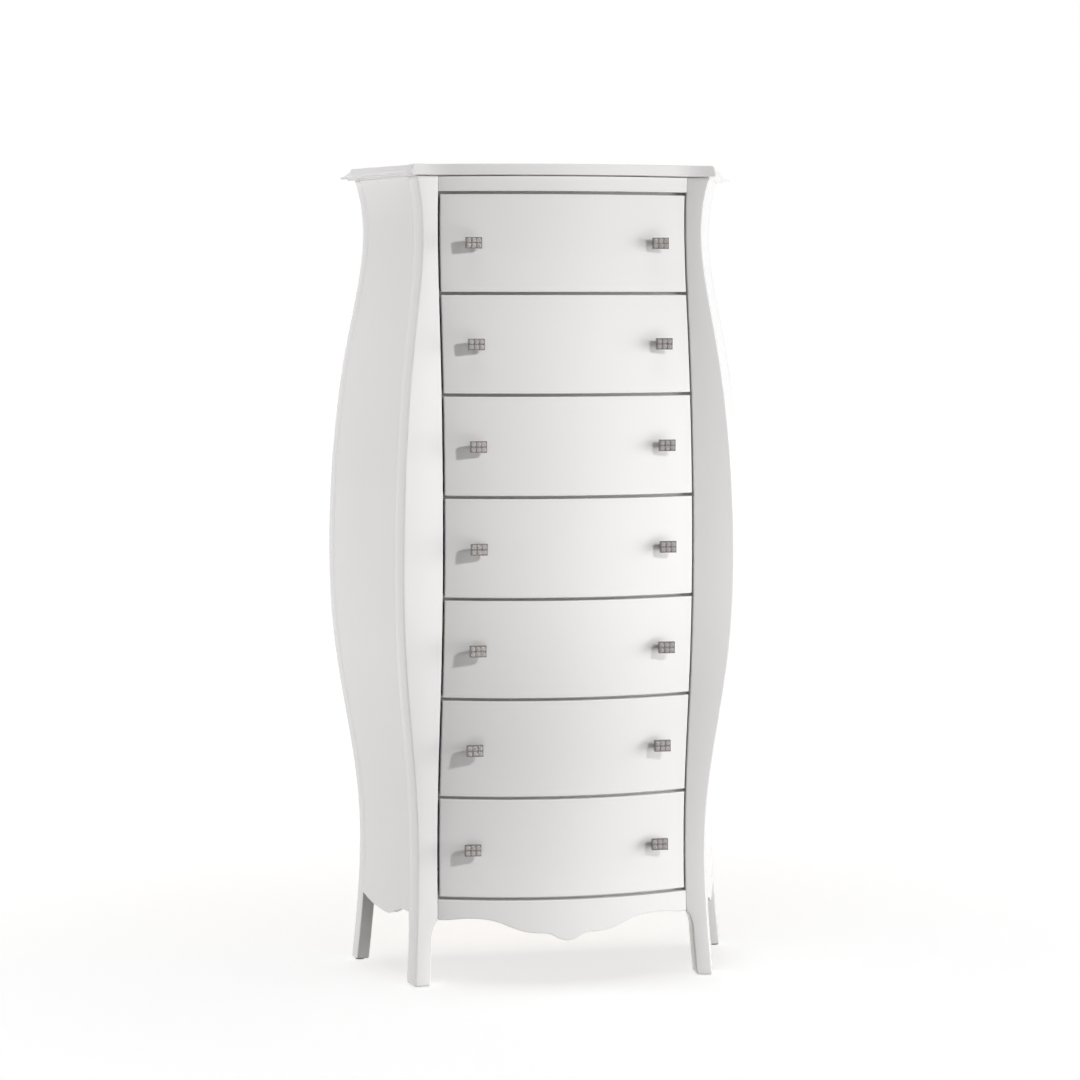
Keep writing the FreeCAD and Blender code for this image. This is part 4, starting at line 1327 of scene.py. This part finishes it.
class SEMAINIER_OT_stage(bpy.types.Operator):
    """Sets the floor, the surroundings, the lamps and the camera"""
    bl_idname = "semainier.stage"
    bl_label = "Stage"

    FLOOR_REACH = 30.0
    GLOW = (0.3, 3.0, 0.71, 1.0)        # of the floor: from and to a distance, its strengths
    MIDDLE = Vector((0, 0, 0.7))        # of the chest
    KEY_SOFTNESS = 0.14                 # radius of the key lamp
    KEY_STRETCH = (1, 4, 1)             # makes its beam tall
    SENSOR_WIDTH = 36                   # millimetres
    # Each area lamp: strength, azimuth to the right of the front, height, distance and size.
    LAMPS = {
        "soft_box": ("soft", 70, 0.9, 4.5, (3.6, 2.4)),
        "fill_lamp": ("fill", -100, 1.0, 4.0, (1.8, 2.4)),
        "bounce_lamp": ("bounce", 35, 0.08, 1.5, (2.4, 1.2)),
        "rear_lamp": ("rear", 180, 0.7, 4.0, (2.4, 1.2)),
        "overhead_lamp": ("overhead", 20, 4.6, 0.3, (3.0, 3.0))}

    def execute(self, context):
        stage = context.scene.semainier_stage
        floor = self.add_floor()
        self.add_surroundings(context.scene, stage)
        self.add_lamps(stage, floor)
        self.add_camera(context.scene, stage)
        context.scene.view_settings.view_transform = "Standard"
        return {"FINISHED"}

    @staticmethod
    def seen_directly(make):
        """1 for rays from the camera, in mirrors and through glass."""
        path = make.add("ShaderNodeLightPath", output="Is Camera Ray")
        return path.math("MAXIMUM", path.other("Is Glossy Ray").math(
            "MAXIMUM", path.other("Is Transmission Ray")))

    def add_floor(self):
        """Wide pale floor that looks white but keeps the shadow of the chest."""
        corners = [(x * self.FLOOR_REACH, y * self.FLOOR_REACH, 0)
                   for x, y in ((-1, -1), (1, -1), (1, 1), (-1, 1))]
        mesh = plain_mesh("floor", corners, faces=[(0, 1, 2, 3)])
        make = Surface("pale_floor")
        tone = make.mixed(make.noise(30, 3), (0.80, 0.80, 0.80), (0.82, 0.82, 0.82))
        away = make.vector_math("LENGTH", make.place, output="Value")
        lift = make.eased(away, *self.GLOW)
        body = make.add("ShaderNodeBsdfDiffuse", None, {"Color": tone})
        glow = make.add("ShaderNodeEmission", None, {"Color": (1, 1, 1, 1), "Strength": lift})
        lifted = make.add("ShaderNodeAddShader", None, {0: body, 1: glow})
        make.end(make.add("ShaderNodeMixShader", None,
                          {"Fac": self.seen_directly(make), 1: body, 2: lifted}))
        mesh.materials.append(make.material)
        floor = linked("floor", mesh)
        return floor

    def add_surroundings(self, scene, stage):
        scene.world = bpy.data.worlds.new("surroundings")
        scene.world.use_nodes = True
        make = Graph(scene.world.node_tree)
        even = make.add("ShaderNodeBackground", None, {"Strength": stage.ambient})
        white = make.add("ShaderNodeBackground", None, {"Color": (1, 1, 1, 1), "Strength": 1.0})
        shown = make.add("ShaderNodeMixShader", None,
                         {"Fac": self.seen_directly(make), 1: even, 2: white})
        make.add("ShaderNodeOutputWorld", None, {"Surface": shown})

    @staticmethod
    def aimed(name, lamp, light, spread, spot, target):
        """Lamp turned to a target, with the energy that gives a facing card its light there."""
        lamp.energy = light * spread ** 2 * (spot - target).length_squared
        thing = linked(name, lamp)
        thing.location = spot
        thing.rotation_euler = (spot - target).to_track_quat("Z", "Y").to_euler()
        return thing

    def add_key(self, stage):
        """Spot on the right; its soft edge falls across the front, lightest at the left."""
        lamp = bpy.data.lights.new("key_lamp", "SPOT")
        lamp.shadow_soft_size = self.KEY_SOFTNESS
        lamp.spot_size = stage.key_cone
        lamp.spot_blend = 1.0
        thing = self.aimed("key_lamp", lamp, stage.key, 2 * math.pi, Vector(stage.key_place),
                           Vector(stage.key_target))
        thing.scale = self.KEY_STRETCH
        return thing

    def add_lamps(self, stage, floor):
        lamps = [self.add_key(stage)]
        for name, (light, azimuth, rise, distance, size) in self.LAMPS.items():
            turn = math.radians(azimuth)
            spot = Vector((math.sin(turn) * distance, -math.cos(turn) * distance, rise))
            lamp = bpy.data.lights.new(name, "AREA")
            lamp.shape = "RECTANGLE"
            lamp.size, lamp.size_y = size
            lamps.append(self.aimed(name, lamp, getattr(stage, light), math.pi, spot, self.MIDDLE))
        bare = bpy.data.collections.new("lit_without_floor")
        bare.objects.link(floor)
        bare.collection_objects[0].light_linking.link_state = "EXCLUDE"
        for lamp in lamps[:-1]:        # all but the overhead one
            lamp.visible_glossy = False
            lamp.light_linking.receiver_collection = bare

    def add_camera(self, scene, stage):
        data = bpy.data.cameras.new("camera")
        data.lens = stage.lens
        data.sensor_width = self.SENSOR_WIDTH
        data.shift_y = stage.shift
        scene.camera = linked("camera", data)
        scene.camera.location = stage.camera_place
        scene.camera.rotation_euler = (math.pi / 2, 0, -stage.camera_turn)


class SEMAINIER_PT_sidebar(bpy.types.Panel):
    """Lists the pieces and their sizes"""
    bl_idname = "SEMAINIER_PT_sidebar"
    bl_label = "Semainier"
    bl_space_type = "VIEW_3D"
    bl_region_type = "UI"
    bl_category = "Semainier"

    def draw(self, context):
        column = self.layout.column()
        for operator in OPERATORS:
            column.operator(operator.bl_idname)
        for name, group in GROUPS.items():
            column.label(text=group.__doc__)
            for field in group.__annotations__:
                column.prop(getattr(context.scene, name), field)


GROUPS = {
    "semainier_case": SemainierCase, "semainier_apron": SemainierApron,
    "semainier_top": SemainierTop, "semainier_edges": SemainierEdges,
    "semainier_knob": SemainierKnob, "semainier_finish": SemainierFinish,
    "semainier_stage": SemainierStage}
OPERATORS = (
    SEMAINIER_OT_posts, SEMAINIER_OT_side_panels, SEMAINIER_OT_top_board,
    SEMAINIER_OT_bowed_fronts, SEMAINIER_OT_drawer_boxes, SEMAINIER_OT_knobs,
    SEMAINIER_OT_hardware, SEMAINIER_OT_inner_frame, SEMAINIER_OT_stage)
CLASSES = (*GROUPS.values(), *OPERATORS, SEMAINIER_PT_sidebar)


def register():
    for item in CLASSES:
        bpy.utils.register_class(item)
    for name, group in GROUPS.items():
        setattr(bpy.types.Scene, name, PointerProperty(type=group))


def unregister():
    for name in GROUPS:
        delattr(bpy.types.Scene, name)
    for item in reversed(CLASSES):
        bpy.utils.unregister_class(item)


def main():
    register()
    for operator in OPERATORS:
        family, name = operator.bl_idname.split(".")
        getattr(getattr(bpy.ops, family), name)()


if __name__ == "__main__":
    main()
